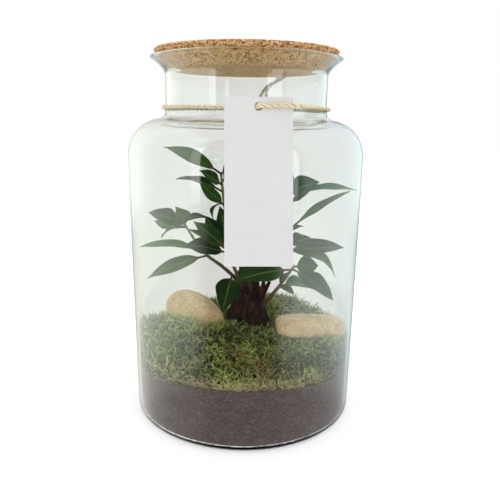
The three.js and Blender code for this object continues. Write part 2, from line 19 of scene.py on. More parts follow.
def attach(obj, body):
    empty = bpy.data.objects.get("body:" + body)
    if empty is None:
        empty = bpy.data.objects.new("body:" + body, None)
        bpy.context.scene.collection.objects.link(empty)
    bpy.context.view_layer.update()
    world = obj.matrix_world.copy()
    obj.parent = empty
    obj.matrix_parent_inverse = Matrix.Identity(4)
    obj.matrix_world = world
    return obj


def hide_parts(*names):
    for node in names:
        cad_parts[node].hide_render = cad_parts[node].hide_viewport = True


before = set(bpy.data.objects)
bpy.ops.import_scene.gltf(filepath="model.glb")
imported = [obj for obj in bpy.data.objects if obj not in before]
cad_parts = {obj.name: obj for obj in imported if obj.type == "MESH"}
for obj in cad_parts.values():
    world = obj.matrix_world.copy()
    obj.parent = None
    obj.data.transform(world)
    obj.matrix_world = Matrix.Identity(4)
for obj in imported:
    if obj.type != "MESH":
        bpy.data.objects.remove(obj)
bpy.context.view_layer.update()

MM = 0.001
GAP = 0.3
scene = bpy.context.scene
print("nodes in the frame:", len(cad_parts))

# %% [markdown]
# ## Camera
#
# The camera stands 47 cm in front of the jar's axis, a little below the rim, and looks slightly
# down. A lens of 40 mm on a sensor of 36 mm gives the same width of view as the photograph. The
# small roll puts the right side of the jar a few pixels lower, as it is there.

# %% Camera
CAMERA = {"x": 4.6, "y": -468.5, "z": 245.8, "down": 0.230, "roll": 0.014}
FOCAL_PIXELS, FRAME_PIXELS, SENSOR = 558.0, 500.0, 36.0
lens = bpy.data.cameras.new("camera")
lens.sensor_width = SENSOR
lens.lens = FOCAL_PIXELS / FRAME_PIXELS * SENSOR
lens.clip_start = 10 * MM
camera = bpy.data.objects.new("camera", lens)
scene.collection.objects.link(camera)
camera.matrix_world = (
    Matrix.Translation([CAMERA[k] * MM for k in "xyz"])
    @ Matrix.Rotation(pi / 2 - CAMERA["down"], 4, "X")
    @ Matrix.Rotation(CAMERA["roll"], 4, "Z")
)
scene.camera = camera
print("lens:", round(lens.lens, 2), "mm")

# %% [markdown]
# ## Tools for surfaces
#
# Nearly every piece is a grid of points worked out as one numpy array. A grid needs only its number of
# rows and columns to know its faces, and whether it closes on itself in either direction. Where a
# side of the grid shrinks to one point, such as the pole of a stone, the doubled points are merged.


# %% Grids and meshes
def grid_faces(rows, columns, wrap_rows=False, wrap_columns=False):
    """Four corners for each face between neighbouring rows and columns of a grid of points."""
    r = np.arange(rows if wrap_rows else rows - 1)[:, None]
    c = np.arange(columns if wrap_columns else columns - 1)[None, :]
    r2, c2 = (r + 1) % rows, (c + 1) % columns
    corners = [r * columns + c, r * columns + c2, r2 * columns + c2, r2 * columns + c]
    return np.stack([np.broadcast_to(k, (len(r), c.shape[1])) for k in corners], -1).reshape(-1, 4)


def copies_of_faces(faces, points_each, copies):
    """The same faces for several copies of a shape whose points follow each other."""
    shift = np.arange(copies)[:, None, None] * points_each
    return (faces[None] + shift).reshape(-1, faces.shape[1])


def slab_faces(rows, columns):
    """Faces of a closed slab whose columns go over its upper side and back under it."""
    row = np.arange(columns - 1)
    cap = np.stack([row, 2 * columns - 1 - row, 2 * columns - 2 - row, row + 1], 1)
    last = (rows - 1) * 2 * columns
    return np.concatenate([grid_faces(rows, 2 * columns, wrap_columns=True), cap, cap[:, ::-1] + last])


def normalised(vectors):
    """Each row of an array of vectors, brought to a length of one."""
    return vectors / np.linalg.norm(vectors, axis=1)[:, None]


def polar(radius, angle, z):
    """Places from a distance to the axis, an angle round it and a height."""
    return np.stack(np.broadcast_arrays(radius * np.cos(angle), radius * np.sin(angle), z), -1)


def make_mesh(name, points, faces, values=None, smooth=True):
    """A mesh from arrays of points in mm and of faces, with numbers that its material may read."""
    mesh = bpy.data.meshes.new(name)
    mesh.vertices.add(len(points))
    mesh.vertices.foreach_set("co", (np.asarray(points) * MM).astype(np.float32).ravel())
    mesh.loops.add(faces.size)
    mesh.loops.foreach_set("vertex_index", faces.astype(np.int32).ravel())
    mesh.polygons.add(len(faces))
    mesh.polygons.foreach_set("loop_start", np.arange(0, faces.size, faces.shape[1], dtype=np.int32))
    mesh.polygons.foreach_set("use_smooth", np.full(len(faces), smooth))
    mesh.update(calc_edges=True)
    for key, numbers in (values or {}).items():
        layer = mesh.attributes.new(key, "FLOAT", "POINT")
        layer.data.foreach_set("value", np.asarray(numbers, np.float32).ravel())
    return mesh


def add_piece(name, mesh, material, merge=True):
    """Puts a mesh into the scene as the piece that stands for the node of its name."""
    if merge:
        work = bmesh.new()
        work.from_mesh(mesh)
        bmesh.ops.remove_doubles(work, verts=work.verts, dist=1e-7)
        bmesh.ops.recalc_face_normals(work, faces=work.faces)
        work.to_mesh(mesh)
        work.free()
    mesh.materials.append(material)
    piece = bpy.data.objects.new(name, mesh)
    scene.collection.objects.link(piece)
    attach(piece, "root")
    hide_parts(name)
    print(f"{name}: {sum(len(p.vertices) - 2 for p in mesh.polygons)} triangles")
    return piece


def joined(parts):
    """Several (points, faces, values) as one, with the faces of each moved past the points before."""
    points, faces, values, start = [], [], {}, 0
    for p, f, v in parts:
        points.append(p)
        faces.append(f + start)
        start += len(p)
        for key, numbers in v.items():
            values.setdefault(key, []).append(np.asarray(numbers, float).ravel())
    values = {key: np.concatenate(numbers) for key, numbers in values.items()}
    return np.concatenate(points), np.concatenate(faces), values


# %% [markdown]
# Bark, cork, soil and stone all need a surface that is rough in a natural way. Value noise gives
# it: every corner of a lattice of cells has a random number, and a point reads a smooth mix of the
# eight corners round it. Several sizes of cell on top of each other make it look grown.


# %% Noise
# Three large primes mix the corner's whole numbers, and a fourth one stirs the result.
PRIMES = [np.uint64(number) for number in (73856093, 19349663, 83492791)]
LAST_PRIME, LOW_BITS = np.uint64(1274126177), np.uint64(65535)


def value_noise(points, cell, seed=0):
    """Random numbers from -1 to 1 at the corners of cells of that size, mixed smoothly between."""
    p = np.asarray(points, float) / cell
    base = np.floor(p).astype(np.int64)
    f = p - base
    f = f * f * (3 - 2 * f)
    total = np.zeros(p.shape[:-1])
    for corner in range(8):
        step = np.array([corner >> 2 & 1, corner >> 1 & 1, corner & 1])
        k = (base + step + seed * 101).astype(np.uint64)
        mixed = k[..., 0] * PRIMES[0] ^ k[..., 1] * PRIMES[1] ^ k[..., 2] * PRIMES[2]
        mixed = (mixed ^ mixed >> np.uint64(13)) * LAST_PRIME
        number = ((mixed ^ mixed >> np.uint64(16)) & LOW_BITS) / 32767.5 - 1
        total += number * np.prod(np.where(step == 1, f, 1 - f), axis=-1)
    return total


def rough(points, cell, layers=3, seed=0):
    """Value noise of halving cells, each layer half as strong as the one before."""
    return sum(value_noise(points, cell / 2**i, seed + i) / 2**i for i in range(layers))


# %% [markdown]
# ## Materials
#
# A material is a small tree of nodes. The helper below adds one node, sets its plain numbers and
# links the ones that come from another node, so each finish reads as a short list.


# %% Helpers for materials
def node(tree, kind, links=None, **settings):
    """Adds a node. settings are its own properties and links are numbers or sockets for its inputs."""
    made = tree.nodes.new("ShaderNode" + kind)
    for key, value in settings.items():
        setattr(made, key, value)
    for key, value in (links or {}).items():
        if isinstance(value, bpy.types.NodeSocket):
            tree.links.new(value, made.inputs[key])
        else:
            made.inputs[key].default_value = value
    return made


def new_material(name, **plain):
    """A material with a Principled shader, its tree, that shader and the object's own coordinates.
    plain holds the shader's plain inputs, with _ for each space in their names."""
    material = bpy.data.materials.new(name)
    material.use_nodes = True
    tree = material.node_tree
    shader = tree.nodes["Principled BSDF"]
    for key, value in plain.items():
        shader.inputs[key.replace("_", " ")].default_value = value
    place = tree.nodes.new("ShaderNodeTexCoord").outputs["Object"]
    return material, tree, shader, place


def ramp(tree, factor, stops):
    """Colours along a factor: stops are (place, (r, g, b))."""
    made = node(tree, "ValToRGB", {"Fac": factor})
    while len(made.color_ramp.elements) < len(stops):
        made.color_ramp.elements.new(0.5)
    for element, (place, colour) in zip(made.color_ramp.elements, stops):
        element.position = place
        element.color = (*colour, 1)
    return made.outputs["Color"]


def noise(tree, place, scale, detail=4.0, roughness=0.6):
    """A noise factor whose scale is in cells per metre."""
    links = {"Vector": place, "Scale": scale, "Detail": detail, "Roughness": roughness}
    return node(tree, "TexNoise", links).outputs["Fac"]


def map_range(tree, value, low, high, to_low=0.0, to_high=1.0):
    """A number carried from one range onto another, and held at both ends."""
    return node(tree, "MapRange", {"Value": value, 1: low, 2: high, 3: to_low, 4: to_high}).outputs[0]


def math(tree, kind, *values):
    """One Math node's output from numbers or sockets."""
    return node(tree, "Math", dict(enumerate(values)), operation=kind).outputs[0]


def paint(tree, shader, colour):
    """Makes a colour the shader's base colour."""
    tree.links.new(colour, shader.inputs["Base Color"])


def mix(tree, factor, a, b, blend="MIX"):
    """One colour over another by a factor."""
    made = node(tree, "Mix", data_type="RGBA", blend_type=blend)
    for socket, value in zip((0, 6, 7), (factor, a, b)):
        if isinstance(value, bpy.types.NodeSocket):
            tree.links.new(value, made.inputs[socket])
        else:
            made.inputs[socket].default_value = (*value, 1) if isinstance(value, tuple) else value
    return made.outputs[2]


def bump(tree, shader, height, distance, strength=1.0, under=None):
    """Fine relief in the shading, with its distance in metres."""
    links = {"Height": height, "Distance": distance, "Strength": strength}
    if under is not None:
        links["Normal"] = under
    made = node(tree, "Bump", links)
    tree.links.new(made.outputs["Normal"], shader.inputs["Normal"])
    return made.outputs["Normal"]


def attribute(tree, name):
    """The numbers that a piece keeps at its points under a name."""
    return node(tree, "Attribute", attribute_name=name).outputs["Fac"]


# %% [markdown]
# ## Twine
#
# Jute twine is two strands laid round each other, with loose hairs. The loop runs round the neck,
# comes forward to the card, goes through its hole and back over its front. Its route is the same
# list of places as in the solid model: an arc round the neck on both sides, and given places
# between them. A smooth curve passes through all of them.

# %% The route of the loop
NECK_RADIUS, TWINE_RADIUS, TWINE_Z, KNOT_BEARING = 64.9, 1.5, 254.2, 80.0
RING_RADIUS = NECK_RADIUS + GAP + TWINE_RADIUS
CARD = {"width": 45.4, "height": 112.0, "thickness": 0.8, "lean": 13.2, "turn": -0.8,
        "hole": 2.9, "drop": 6.3}
CARD_HOLE = np.array([9.0, -88.3, 254.2])


def beside_card(x, out, up=0.0):
    """A place by the card: x along its width, out in front of its middle plane, up from its hole.
    The card leans back at its top, then turns a little about the line of sight."""
    lean, turn = radians(CARD["lean"]), radians(CARD["turn"])
    x, out, up = np.broadcast_arrays(np.asarray(x, float), out, up)
    y = -out * cos(lean) + up * sin(lean)
    z = up * cos(lean) + out * sin(lean)
    return np.stack([x * cos(turn) + z * sin(turn), y, z * cos(turn) - x * sin(turn)], -1) + CARD_HOLE


def ring_point(bearing):
    """The middle of the twine on the neck at a bearing in degrees, counted from +X towards +Y."""
    return np.array([RING_RADIUS * cos(radians(bearing)), RING_RADIUS * sin(radians(bearing)), TWINE_Z])


def leaving_bearing(place, side):
    """The bearing at which a straight strand from a place in front touches the ring, on one side."""
    aside = degrees(np.arccos(RING_RADIUS / hypot(*place[:2])))
    return degrees(atan2(place[1], place[0])) + 360 + side * aside


def flow(route, per_span):
    """A smooth curve through all places of a route: a cubic between each two, whose slopes come from
    its neighbours, weighted by the root of the distances, so that it doesn't loop or overshoot."""
    p = np.asarray(route, float)
    p = np.vstack([2 * p[0] - p[1], p, 2 * p[-1] - p[-2]])
    a, b, c, d = p[:-3], p[1:-2], p[2:-1], p[3:]
    spans = ((a, b), (b, c), (c, d))
    before, here, after = (np.sqrt(np.linalg.norm(v - u, axis=1))[:, None] for u, v in spans)
    slope_b = ((b - a) / before - (c - a) / (before + here) + (c - b) / here) * here
    slope_c = ((c - b) / here - (d - b) / (here + after) + (d - c) / after) * here
    t = (np.arange(per_span) / per_span)[None, :, None]
    b, c, slope_b, slope_c = (v[:, None] for v in (b, c, slope_b, slope_c))
    cubic = 2 * (b - c) + slope_b + slope_c
    points = b + slope_b * t + (3 * (c - b) - 2 * slope_b - slope_c) * t**2 + cubic * t**3
    return np.vstack([points.reshape(-1, 3), p[-2]])


def twine_route():
    """From the knot round the left of the neck, through the card's hole and round the right back."""
    clear, edge = CARD["thickness"] / 2 + GAP + TWINE_RADIUS, CARD["width"] / 2
    behind, passed = beside_card(-6, -clear - 1.4), beside_card(edge + 3, clear)

    def arc(start, end):
        steps = round((end - start) / 11)
        return [ring_point(start + (end - start) * i / steps) for i in range(steps + 1)]

    left = arc(KNOT_BEARING, leaving_bearing(behind, -1))
    right = arc(leaving_bearing(passed, 1), KNOT_BEARING + 360)
    by_card = [(-3.4, -clear), (-1.5, -clear + 0.7), (0, 0), (1.5, clear - 0.7), (3.4, clear + 0.1),
               (7, clear + 0.5), (edge / 2, clear + 0.5), (edge - 2, clear + 0.5)]
    return [
        *left,
        *(left[-1] + (behind - left[-1]) * share for share in (0.3, 0.6, 0.85)),
        behind,
        *(beside_card(x, out) for x, out in by_card),
        passed,
        *(passed + (right[0] - passed) * share for share in (0.25, 0.6)),
        *right,
    ]


def line_length(line):
    """The length of a line of points."""
    return float(np.linalg.norm(np.diff(line, axis=0), axis=1).sum())


loop_line = flow(twine_route(), 24)
print("length of the loop:", round(line_length(loop_line)), "mm")


# %% [markdown]
# A strand is a tube whose middle winds round the twine's own middle. To place it without a twist of
# its own, each point of the route carries two directions at right angles to it, and each pair is
# taken over from the one before, so they never spin on the spot.


# %% Tubes along a line
def even_steps(line, step):
    """The line again, with points at equal distances of about one step."""
    along = np.concatenate([[0], np.cumsum(np.linalg.norm(np.diff(line, axis=0), axis=1))])
    at = np.linspace(0, along[-1], max(2, round(along[-1] / step) + 1))
    return np.stack([np.interp(at, along, line[:, k]) for k in range(3)], 1), at


def carried_frames(line):
    """Two directions across the line at each point, carried along it without spin."""
    tangent = normalised(np.gradient(line, axis=0))
    side = np.zeros_like(line)
    now = np.cross(tangent[0], [0, 0, 1] if abs(tangent[0][2]) < 0.9 else [1, 0, 0])
    for i, t in enumerate(tangent):
        now = now - t * (now @ t)
        now = now / np.linalg.norm(now)
        side[i] = now
    return tangent, side, np.cross(tangent, side)


def tube(line, radius, sides):
    """Rings of points round a line, with a ring of no size at both ends, which closes the tube.
    radius is one number or one for each point."""
    _, side, other = carried_frames(line)
    radius = np.broadcast_to(np.asarray(radius, float), len(line))
    angle = np.linspace(0, 2 * pi, sides, endpoint=False)
    ahead, up = np.cos(angle)[None, :, None], np.sin(angle)[None, :, None]
    around = ahead * side[:, None] + up * other[:, None]
    rings = line[:, None] + around * radius[:, None, None]
    ends = [np.repeat(line[i][None, None], sides, 1) for i in (0, -1)]
    rings = np.concatenate([ends[0], rings, ends[1]])
    return rings.reshape(-1, 3), grid_faces(len(line) + 2, sides, wrap_columns=True)


LAY = 10.0
STRANDS, STRAND_RADIUS, STRAND_OUT, STRAND_SIDES = 2, 0.86, 0.68, 8
HAIR_THICK, HAIR_SIDES = 0.055, 3
HAIR_SHARES, HAIR_TAPER = np.array([0, 0, 0.35, 0.7, 1.0]), np.array([0, 1, 0.8, 0.5, 0.0])


def twisted(line, seed):
    """Strands round a line: each winds once in each lay, opposite the other. The values tell the
    material how far along a point is, on which strand, and how far it lies from the middle line."""
    line, along = even_steps(line, 0.55)
    _, side, other = carried_frames(line)
    parts = []
    middle_line = np.repeat(np.vstack([line[:1], line, line[-1:]]), STRAND_SIDES, 0)
    for k in range(STRANDS):
        angle = 2 * pi * (along / LAY + k / STRANDS)
        wander = 1 + 0.1 * value_noise(np.stack([along, along * 0, along * 0 + k], 1), 5.0, seed)
        middle = line + STRAND_OUT * (side * np.cos(angle)[:, None] + other * np.sin(angle)[:, None])
        points, faces = tube(middle, STRAND_RADIUS * wander, STRAND_SIDES)
        rows = np.repeat(np.concatenate([[0], along, [along[-1]]]), STRAND_SIDES)
        out = np.linalg.norm(points - middle_line, axis=1) / TWINE_RADIUS
        strand = np.full(len(points), k / STRANDS)
        parts.append((points, faces, {"along": rows, "strand": strand, "out": out}))
    return joined(parts)


def hairs(line, count, seed, reach=1.5):
    """Loose fibres: each starts on the twine and curls away from it as a thin three-sided spike."""
    draw = np.random.default_rng(seed)
    line, along = even_steps(line, 0.5)
    tangent, side, other = carried_frames(line)
    at = draw.integers(2, len(line) - 2, count)
    angle = draw.uniform(0, 2 * pi, count)
    out = side[at] * np.cos(angle)[:, None] + other[at] * np.sin(angle)[:, None]
    lean = draw.uniform(-1, 1, (count, 1))
    curl = draw.normal(0, 0.5, (count, 3))
    length = draw.uniform(0.5, 1.0, (count, 1)) * reach
    share = HAIR_SHARES[None, :, None]
    thick = HAIR_THICK * HAIR_TAPER[None, :, None, None]
    middle = (line[at] + out * TWINE_RADIUS * 0.8)[:, None] + length[:, None] * (
        out[:, None] * share * 0.7 + (tangent[at] * lean)[:, None] * share + curl[:, None] * share**2 * 0.5)
    corner = np.linspace(0, 2 * pi, HAIR_SIDES, endpoint=False)
    across = np.cos(corner)[None, None, :, None] * tangent[at][:, None, None] + (
        np.sin(corner)[None, None, :, None] * np.cross(out, tangent[at])[:, None, None])
    points = middle[:, :, None] + across * thick
    each = len(HAIR_SHARES) * HAIR_SIDES
    faces = copies_of_faces(grid_faces(len(HAIR_SHARES), HAIR_SIDES, wrap_columns=True), each, count)
    strand, far_out = np.full(count * each, 0.5), np.ones(count * each)
    values = {"along": np.repeat(along[at], each), "strand": strand, "out": far_out}
    return points.reshape(-1, 3), faces, values


# %% [markdown]
# Jute is straw-coloured and matt. Each strand is spun from fibres, so fine light and dark lines run
# along it. They follow the distance along the twine, which each point carries as a number.

# %% Jute
jute, tree, shader, place = new_material("jute", Roughness=0.9, Sheen_Weight=0.25)
fibre = {"X": attribute(tree, "along"), "Y": attribute(tree, "strand")}
fibre_place = node(tree, "CombineXYZ", fibre).outputs[0]
broad = noise(tree, fibre_place, 0.25, 3.0)
fine = noise(tree, place, 2600.0, 3.0, 0.7)
tone = ramp(tree, broad, [(0.3, (0.78, 0.66, 0.40)), (0.55, (0.88, 0.78, 0.54)), (0.75, (0.94, 0.87, 0.68))])
# Painted shade: points near the twine's middle line, in the grooves between the strands and where they press
# on each other, are painted darker.
crease_shade = ramp(tree, attribute(tree, "out"), [
    (0.36, (0.55, 0.38, 0.20)), (0.58, (0.88, 0.78, 0.60)), (0.76, (1, 1, 1))])
tone = mix(tree, 1.0, tone, crease_shade, "MULTIPLY")
lines = ramp(tree, fine, [(0.3, (0.62, 0.55, 0.45)), (0.7, (1.0, 1.0, 1.0))])
# Where the attribute pale is set, on the cut ends only, the colour is mixed towards pale straw: painted haze
# that stands in for the light the glass lays over them.
tone = mix(tree, attribute(tree, "pale"), mix(tree, 0.75, tone, lines, "MULTIPLY"), (0.96, 0.91, 0.82))
paint(tree, shader, tone)
bump(tree, shader, fine, 0.0002, 0.8)

# %% [markdown]
# The two cut ends come first, because they are the twine's free cords: each leaves the knot, stands
# against the back of the neck and ends under the rim. The photograph shows them from the card's top
# edge up to the cork's lower edge.

# %% The two cut ends
TAILS = {
    "twine_tail_long": [
        (82.5, 68.5, 256.5), (82.8, 69.7, 261), (80, 68.1, 266.1), (77.1, 67.3, 271.4), (73.2, 67.2, 275.8),
        (68, 67.5, 278.4), (62.8, 68, 280.8), (58, 70.3, 284.9)],
    "twine_tail_short": [
        (79, 68.5, 256.5), (77.6, 69.8, 261), (74.9, 70.6, 266.2), (75.1, 71.1, 271.1), (72.5, 71.4, 275.6),
        (68.4, 71.6, 279.1), (65.7, 72.6, 284), (65.9, 73.2, 287.1)],
}
KNOT_HALF, KNOT_LIFT = (4.6, 3.2, 3.6), 1.5
knot_middle = ring_point(KNOT_BEARING) * ((RING_RADIUS + KNOT_HALF[1] - TWINE_RADIUS) / RING_RADIUS)
knot_middle[2] = TWINE_Z + KNOT_LIFT

for number, (name, bearings) in enumerate(TAILS.items()):
    route = [(r * cos(radians(a)), r * sin(radians(a)), z) for a, r, z in bearings]
    line = flow(route, 12)
    points, faces, values = joined([twisted(line, number + 3), hairs(line, 60, number + 5, 1.2)])
    # Painted light: the cut ends are made paler, most on the outer sides of their strands, to stand in for
    # the haze that the glass lays over them and the light that the lid keeps off them.
    values["pale"] = np.clip(values["out"], 0.5, 0.9)
    tail = add_piece(name, make_mesh(name, points, faces, values), jute)

# %% [markdown]
# The loop itself is the same twisted twine, longer. The knot is an overhand knot: its line swings
# twice round a small ring while it dives through the middle three times, which is the curve that
# mathematicians call a trefoil. It is scaled to the knot's own half-sizes.


# %% The loop and its knot
def trefoil(steps=120):
    """The closed line of an overhand knot, with half-sizes of one: twice round while it dips thrice."""
    t = np.linspace(0, 2 * pi, steps)
    line = np.stack([np.sin(t) + 2 * np.sin(2 * t), np.cos(t) - 2 * np.cos(2 * t), -np.sin(3 * t)], 1)
    return line / np.abs(line).max(0)


def knot_line():
    """The knot's line on the back of the neck: wide along it, shallow off it, tall upwards."""
    half = np.array([KNOT_HALF[0] - 1.3, KNOT_HALF[2] - 1.2, KNOT_HALF[1] - 1.3])
    flat = trefoil() * half
    angle = radians(KNOT_BEARING)
    along, off = np.array([-sin(angle), cos(angle), 0]), np.array([cos(angle), sin(angle), 0])
    return knot_middle + flat[:, :1] * along + flat[:, 1:2] * np.array([0, 0, 1.0]) + flat[:, 2:] * off


parts = [twisted(loop_line, 1), hairs(loop_line, 520, 2),
         twisted(knot_line(), 7), hairs(knot_line(), 50, 8, 1.0)]
add_piece("neck_twine", make_mesh("neck_twine", *joined(parts)), jute)

# %% [markdown]
# ## Glass jar
#
# A blown jar is one profile turned round its axis. The outside and the inside are the same rule with
# a different inset, so the wall has a thickness and light bends twice in it, as in the real thing.
# Every corner of the profile is cut off, because molten glass has no sharp corner.

# %% The jar's profile
JAR = {"wall": 2.5, "floor": 2.8, "foot_radius": 88.0, "foot_height": 6.0, "body_low": 93.3,
       "body_high": 95.5, "widest": 190.0, "shoulder": 217.0, "shoulder_radius": 29.0, "neck_z": 249.0,
       "flare_z": 279.0, "rim_z": 292.0, "rim_radius": 76.3, "lip": 1.2}
FLARE_POWER, JAR_SEGMENTS = 1.8, 160


def flare_radius(z):
    """The outer radius from the neck up to the rim, which widens faster and faster."""
    share = np.clip((np.asarray(z, float) - JAR["flare_z"]) / (JAR["rim_z"] - JAR["flare_z"]), 0, 1)
    return NECK_RADIUS + (JAR["rim_radius"] - NECK_RADIUS) * share**FLARE_POWER


def body_inner_radius(z):
    """The inner radius of the body, which widens evenly up to its widest height."""
    share = (np.asarray(z, float) - JAR["foot_height"]) / (JAR["widest"] - JAR["foot_height"])
    return JAR["body_low"] - JAR["wall"] + (JAR["body_high"] - JAR["body_low"]) * np.minimum(1, share)


def arc_points(middle, radius_x, radius_z, start, end, steps):
    """Places on an ellipse's arc in the profile, from one angle in degrees to another."""
    angle = np.radians(np.linspace(start, end, steps + 1))
    return np.stack([middle[0] + radius_x * np.cos(angle), middle[1] + radius_z * np.sin(angle)], 1)


def jar_side(inset):
    """Radius and height from the middle of the floor to the rim, set in from the outside."""
    floor = JAR["floor"] if inset else 0.0
    corner = (JAR["foot_radius"] - inset, JAR["foot_height"])
    shoulder = (JAR["body_high"] - JAR["shoulder_radius"], JAR["shoulder"])
    round_radius = JAR["shoulder_radius"] - inset
    flare_z = np.linspace(JAR["flare_z"], JAR["rim_z"], 9)
    rings = np.array([0, 0.3, 0.6, 0.85, 0.95, 1])[:, None] * corner[0]
    body_z = np.linspace(JAR["foot_height"], JAR["shoulder"], 12)[1:-1]
    return np.vstack([
        np.hstack([rings, np.full_like(rings, floor)]),
        arc_points(corner, JAR["body_low"] - JAR["foot_radius"], JAR["foot_height"] - floor, -90, 0, 6),
        np.stack([body_inner_radius(body_z) + JAR["wall"] - inset, body_z], 1),
        arc_points(shoulder, round_radius, round_radius, 0, 86, 14),
        [[NECK_RADIUS - inset, JAR["neck_z"] - inset / 2]],
        np.stack([flare_radius(flare_z) - inset, flare_z], 1),
    ])


def cut_corners(profile):
    """Each corner gives way to two places, a quarter and three quarters along the lines beside it."""
    a, b = profile[:-1], profile[1:]
    between = np.stack([0.75 * a + 0.25 * b, 0.25 * a + 0.75 * b], 1).reshape(-1, 2)
    return np.vstack([profile[:1], between, profile[-1:]])


def turned(profile, segments):
    """A profile of radius and height turned round the jar's axis: rows along it, columns round it."""
    return polar(profile[:, :1], np.linspace(0, 2 * pi, segments, endpoint=False), profile[:, 1:])


outside, inside = cut_corners(jar_side(0)), cut_corners(jar_side(JAR["wall"]))
lip_middle = (JAR["rim_radius"] - JAR["wall"] / 2, JAR["rim_z"])
lip = arc_points(lip_middle, JAR["wall"] / 2, JAR["lip"], 0, 180, 8)[1:-1]
profile = np.vstack([outside, lip, inside[::-1]])
points = turned(profile, JAR_SEGMENTS).reshape(-1, 3)
jar_mesh = make_mesh("glass_jar", points, grid_faces(len(profile), JAR_SEGMENTS, wrap_columns=True))
print("jar profile:", len(profile), "places")

# %% [markdown]
# Clear glass bends and mirrors light. Light that reaches a surface through bent glass is slow to trace
# and full of grain, so shadow rays pass straight through it here, a little dimmed. Everything that the
# eye sees in it still bends and mirrors as real glass does.

# %% Glass
tint = (0.903, 0.915, 0.893, 1)
glass, tree, shader, place = new_material(
    "glass", Roughness=0.0, IOR=1.47, Base_Color=tint, Transmission_Weight=1.0)
path = node(tree, "LightPath")
through = node(tree, "BsdfTransparent", {"Color": (0.98, 0.99, 0.98, 1)})
shadow = node(tree, "MixShader", {
    0: path.outputs["Is Shadow Ray"], 1: shader.outputs[0], 2: through.outputs[0]})
tree.links.new(shadow.outputs[0], tree.nodes["Material Output"].inputs["Surface"])
drawn = node(tree, "Mapping", {"Vector": place, "Scale": (1.0, 1.0, 0.25)}).outputs[0]
bump(tree, shader, noise(tree, drawn, 28.0, 1.0, 0.4), 0.0004, 0.35)
add_piece("glass_jar", jar_mesh, glass)

# %% [markdown]
# ## Cork lid
#
# The lid is a tapered disc pressed from cork granules. Its shape is one profile again, and small
# pits are pressed into it where granules broke out. The colour comes from cells of random size:
# each granule has a tone of its own, with dark bark in between. The top has darker chips besides:
# partly pits and partly painted shade, which keeps the top, where the light from above falls most,
# no lighter than the side.

# %% The lid's shape
CORK = {"low_radius": 63.2, "low_z": 282.8, "high_radius": 73.5, "high_z": 298.2, "chamfer": 0.8}
CORK_SEGMENTS = 270
CHIPS_AND_TOP_SHADE_FROM, CHIPS_AND_TOP_SHADE_FULL = 0.2915, 0.294


def cork_profile():
    """From the middle of the underside, up the tapered side and to the middle of the top."""
    low, high, bevel = CORK["low_radius"], CORK["high_radius"], CORK["chamfer"]
    corners = [(0, CORK["low_z"]), (low - bevel, CORK["low_z"]), (low, CORK["low_z"] + bevel),
               (high, CORK["high_z"] - bevel), (high - bevel, CORK["high_z"]), (0, CORK["high_z"])]
    counts = (30, 2, 22, 2, 44)
    sides = zip(corners, corners[1:], counts)
    rows = [np.linspace(start, end, count, endpoint=False) for start, end, count in sides]
    return np.vstack([*rows, corners[-1:]])


points = turned(cork_profile(), CORK_SEGMENTS).reshape(-1, 3)
inward = normalised(np.array([0, 0, (CORK["low_z"] + CORK["high_z"]) / 2]) - points)
pits = np.clip(rough(points, 2.2, 2, 11) - 0.35, 0, 1) * 0.9 + 0.12 * (1 + value_noise(points, 1.1, 12))
points = points + inward * (pits * np.minimum(1, np.hypot(points[:, 0], points[:, 1]) / 3))[:, None]
cork_mesh = make_mesh("cork_lid", points, grid_faces(len(cork_profile()), CORK_SEGMENTS, wrap_columns=True))

# %% Cork
cork, tree, shader, place = new_material("cork", Roughness=0.85)
cells = node(tree, "TexVoronoi", {"Vector": place, "Scale": 950.0, "Randomness": 1.0})
tones = ramp(tree, node(tree, "SeparateColor", {"Color": cells.outputs["Color"]}).outputs[0], [
    (0.0, (0.26, 0.09, 0.03)), (0.10, (0.66, 0.34, 0.12)), (0.30, (0.88, 0.57, 0.26)),
    (0.75, (0.94, 0.67, 0.34)), (1.0, (0.98, 0.80, 0.50))])
blotch = ramp(tree, noise(tree, place, 160.0, 5.0, 0.7), [(0.30, (0.60, 0.45, 0.34)), (0.46, (1, 1, 1))])
seam = ramp(tree, cells.outputs["Distance"], [(0.45, (1, 1, 1)), (0.85, (0.76, 0.62, 0.50))])
colour = mix(tree, 0.85, mix(tree, 0.8, tones, blotch, "MULTIPLY"), seam, "MULTIPLY")
up = node(tree, "SeparateXYZ", {"Vector": place}).outputs["Z"]
# Dark chips near the top only: partly cork pits, partly painted shade that keeps the top, most lit from
# above, no lighter than the side.
near_top = map_range(tree, up, CHIPS_AND_TOP_SHADE_FROM, CHIPS_AND_TOP_SHADE_FULL)
chips_and_top_shade = ramp(tree, noise(tree, place, 520.0, 2.0, 0.6), [
    (0.40, (0.30, 0.17, 0.09)), (0.50, (0.86, 0.78, 0.70))])
colour = mix(tree, near_top, colour, mix(tree, 1.0, colour, chips_and_top_shade, "MULTIPLY"))
paint(tree, shader, colour)
grain = noise(tree, place, 900.0, 3.0, 0.7)
bump(tree, shader, cells.outputs["Distance"], 0.0004, 0.7, bump(tree, shader, grain, 0.0003, 0.6))
add_piece("cork_lid", cork_mesh, cork)

# %% [markdown]
# ## Card
#
# A stiff card hangs from its hole and leans on the jar's shoulder. It is bare. Its surface is a
# sheet of rings between the round hole and the straight outline, carried over the front, round the
# cut edge and over the back, with the edge rounded a little, as a die leaves it.


# %% The card's shape
def card_outline(angle, grow):
    """How far the outline lies from the hole along each angle, for a card grown by grow."""
    half = CARD["width"] / 2 + grow
    top, low = CARD["drop"] + grow, CARD["height"] - CARD["drop"] + grow
    side = half / np.maximum(np.abs(np.cos(angle)), 1e-9)
    tall = np.where(np.sin(angle) > 0, top, low) / np.maximum(np.abs(np.sin(angle)), 1e-9)
    return np.minimum(side, tall)


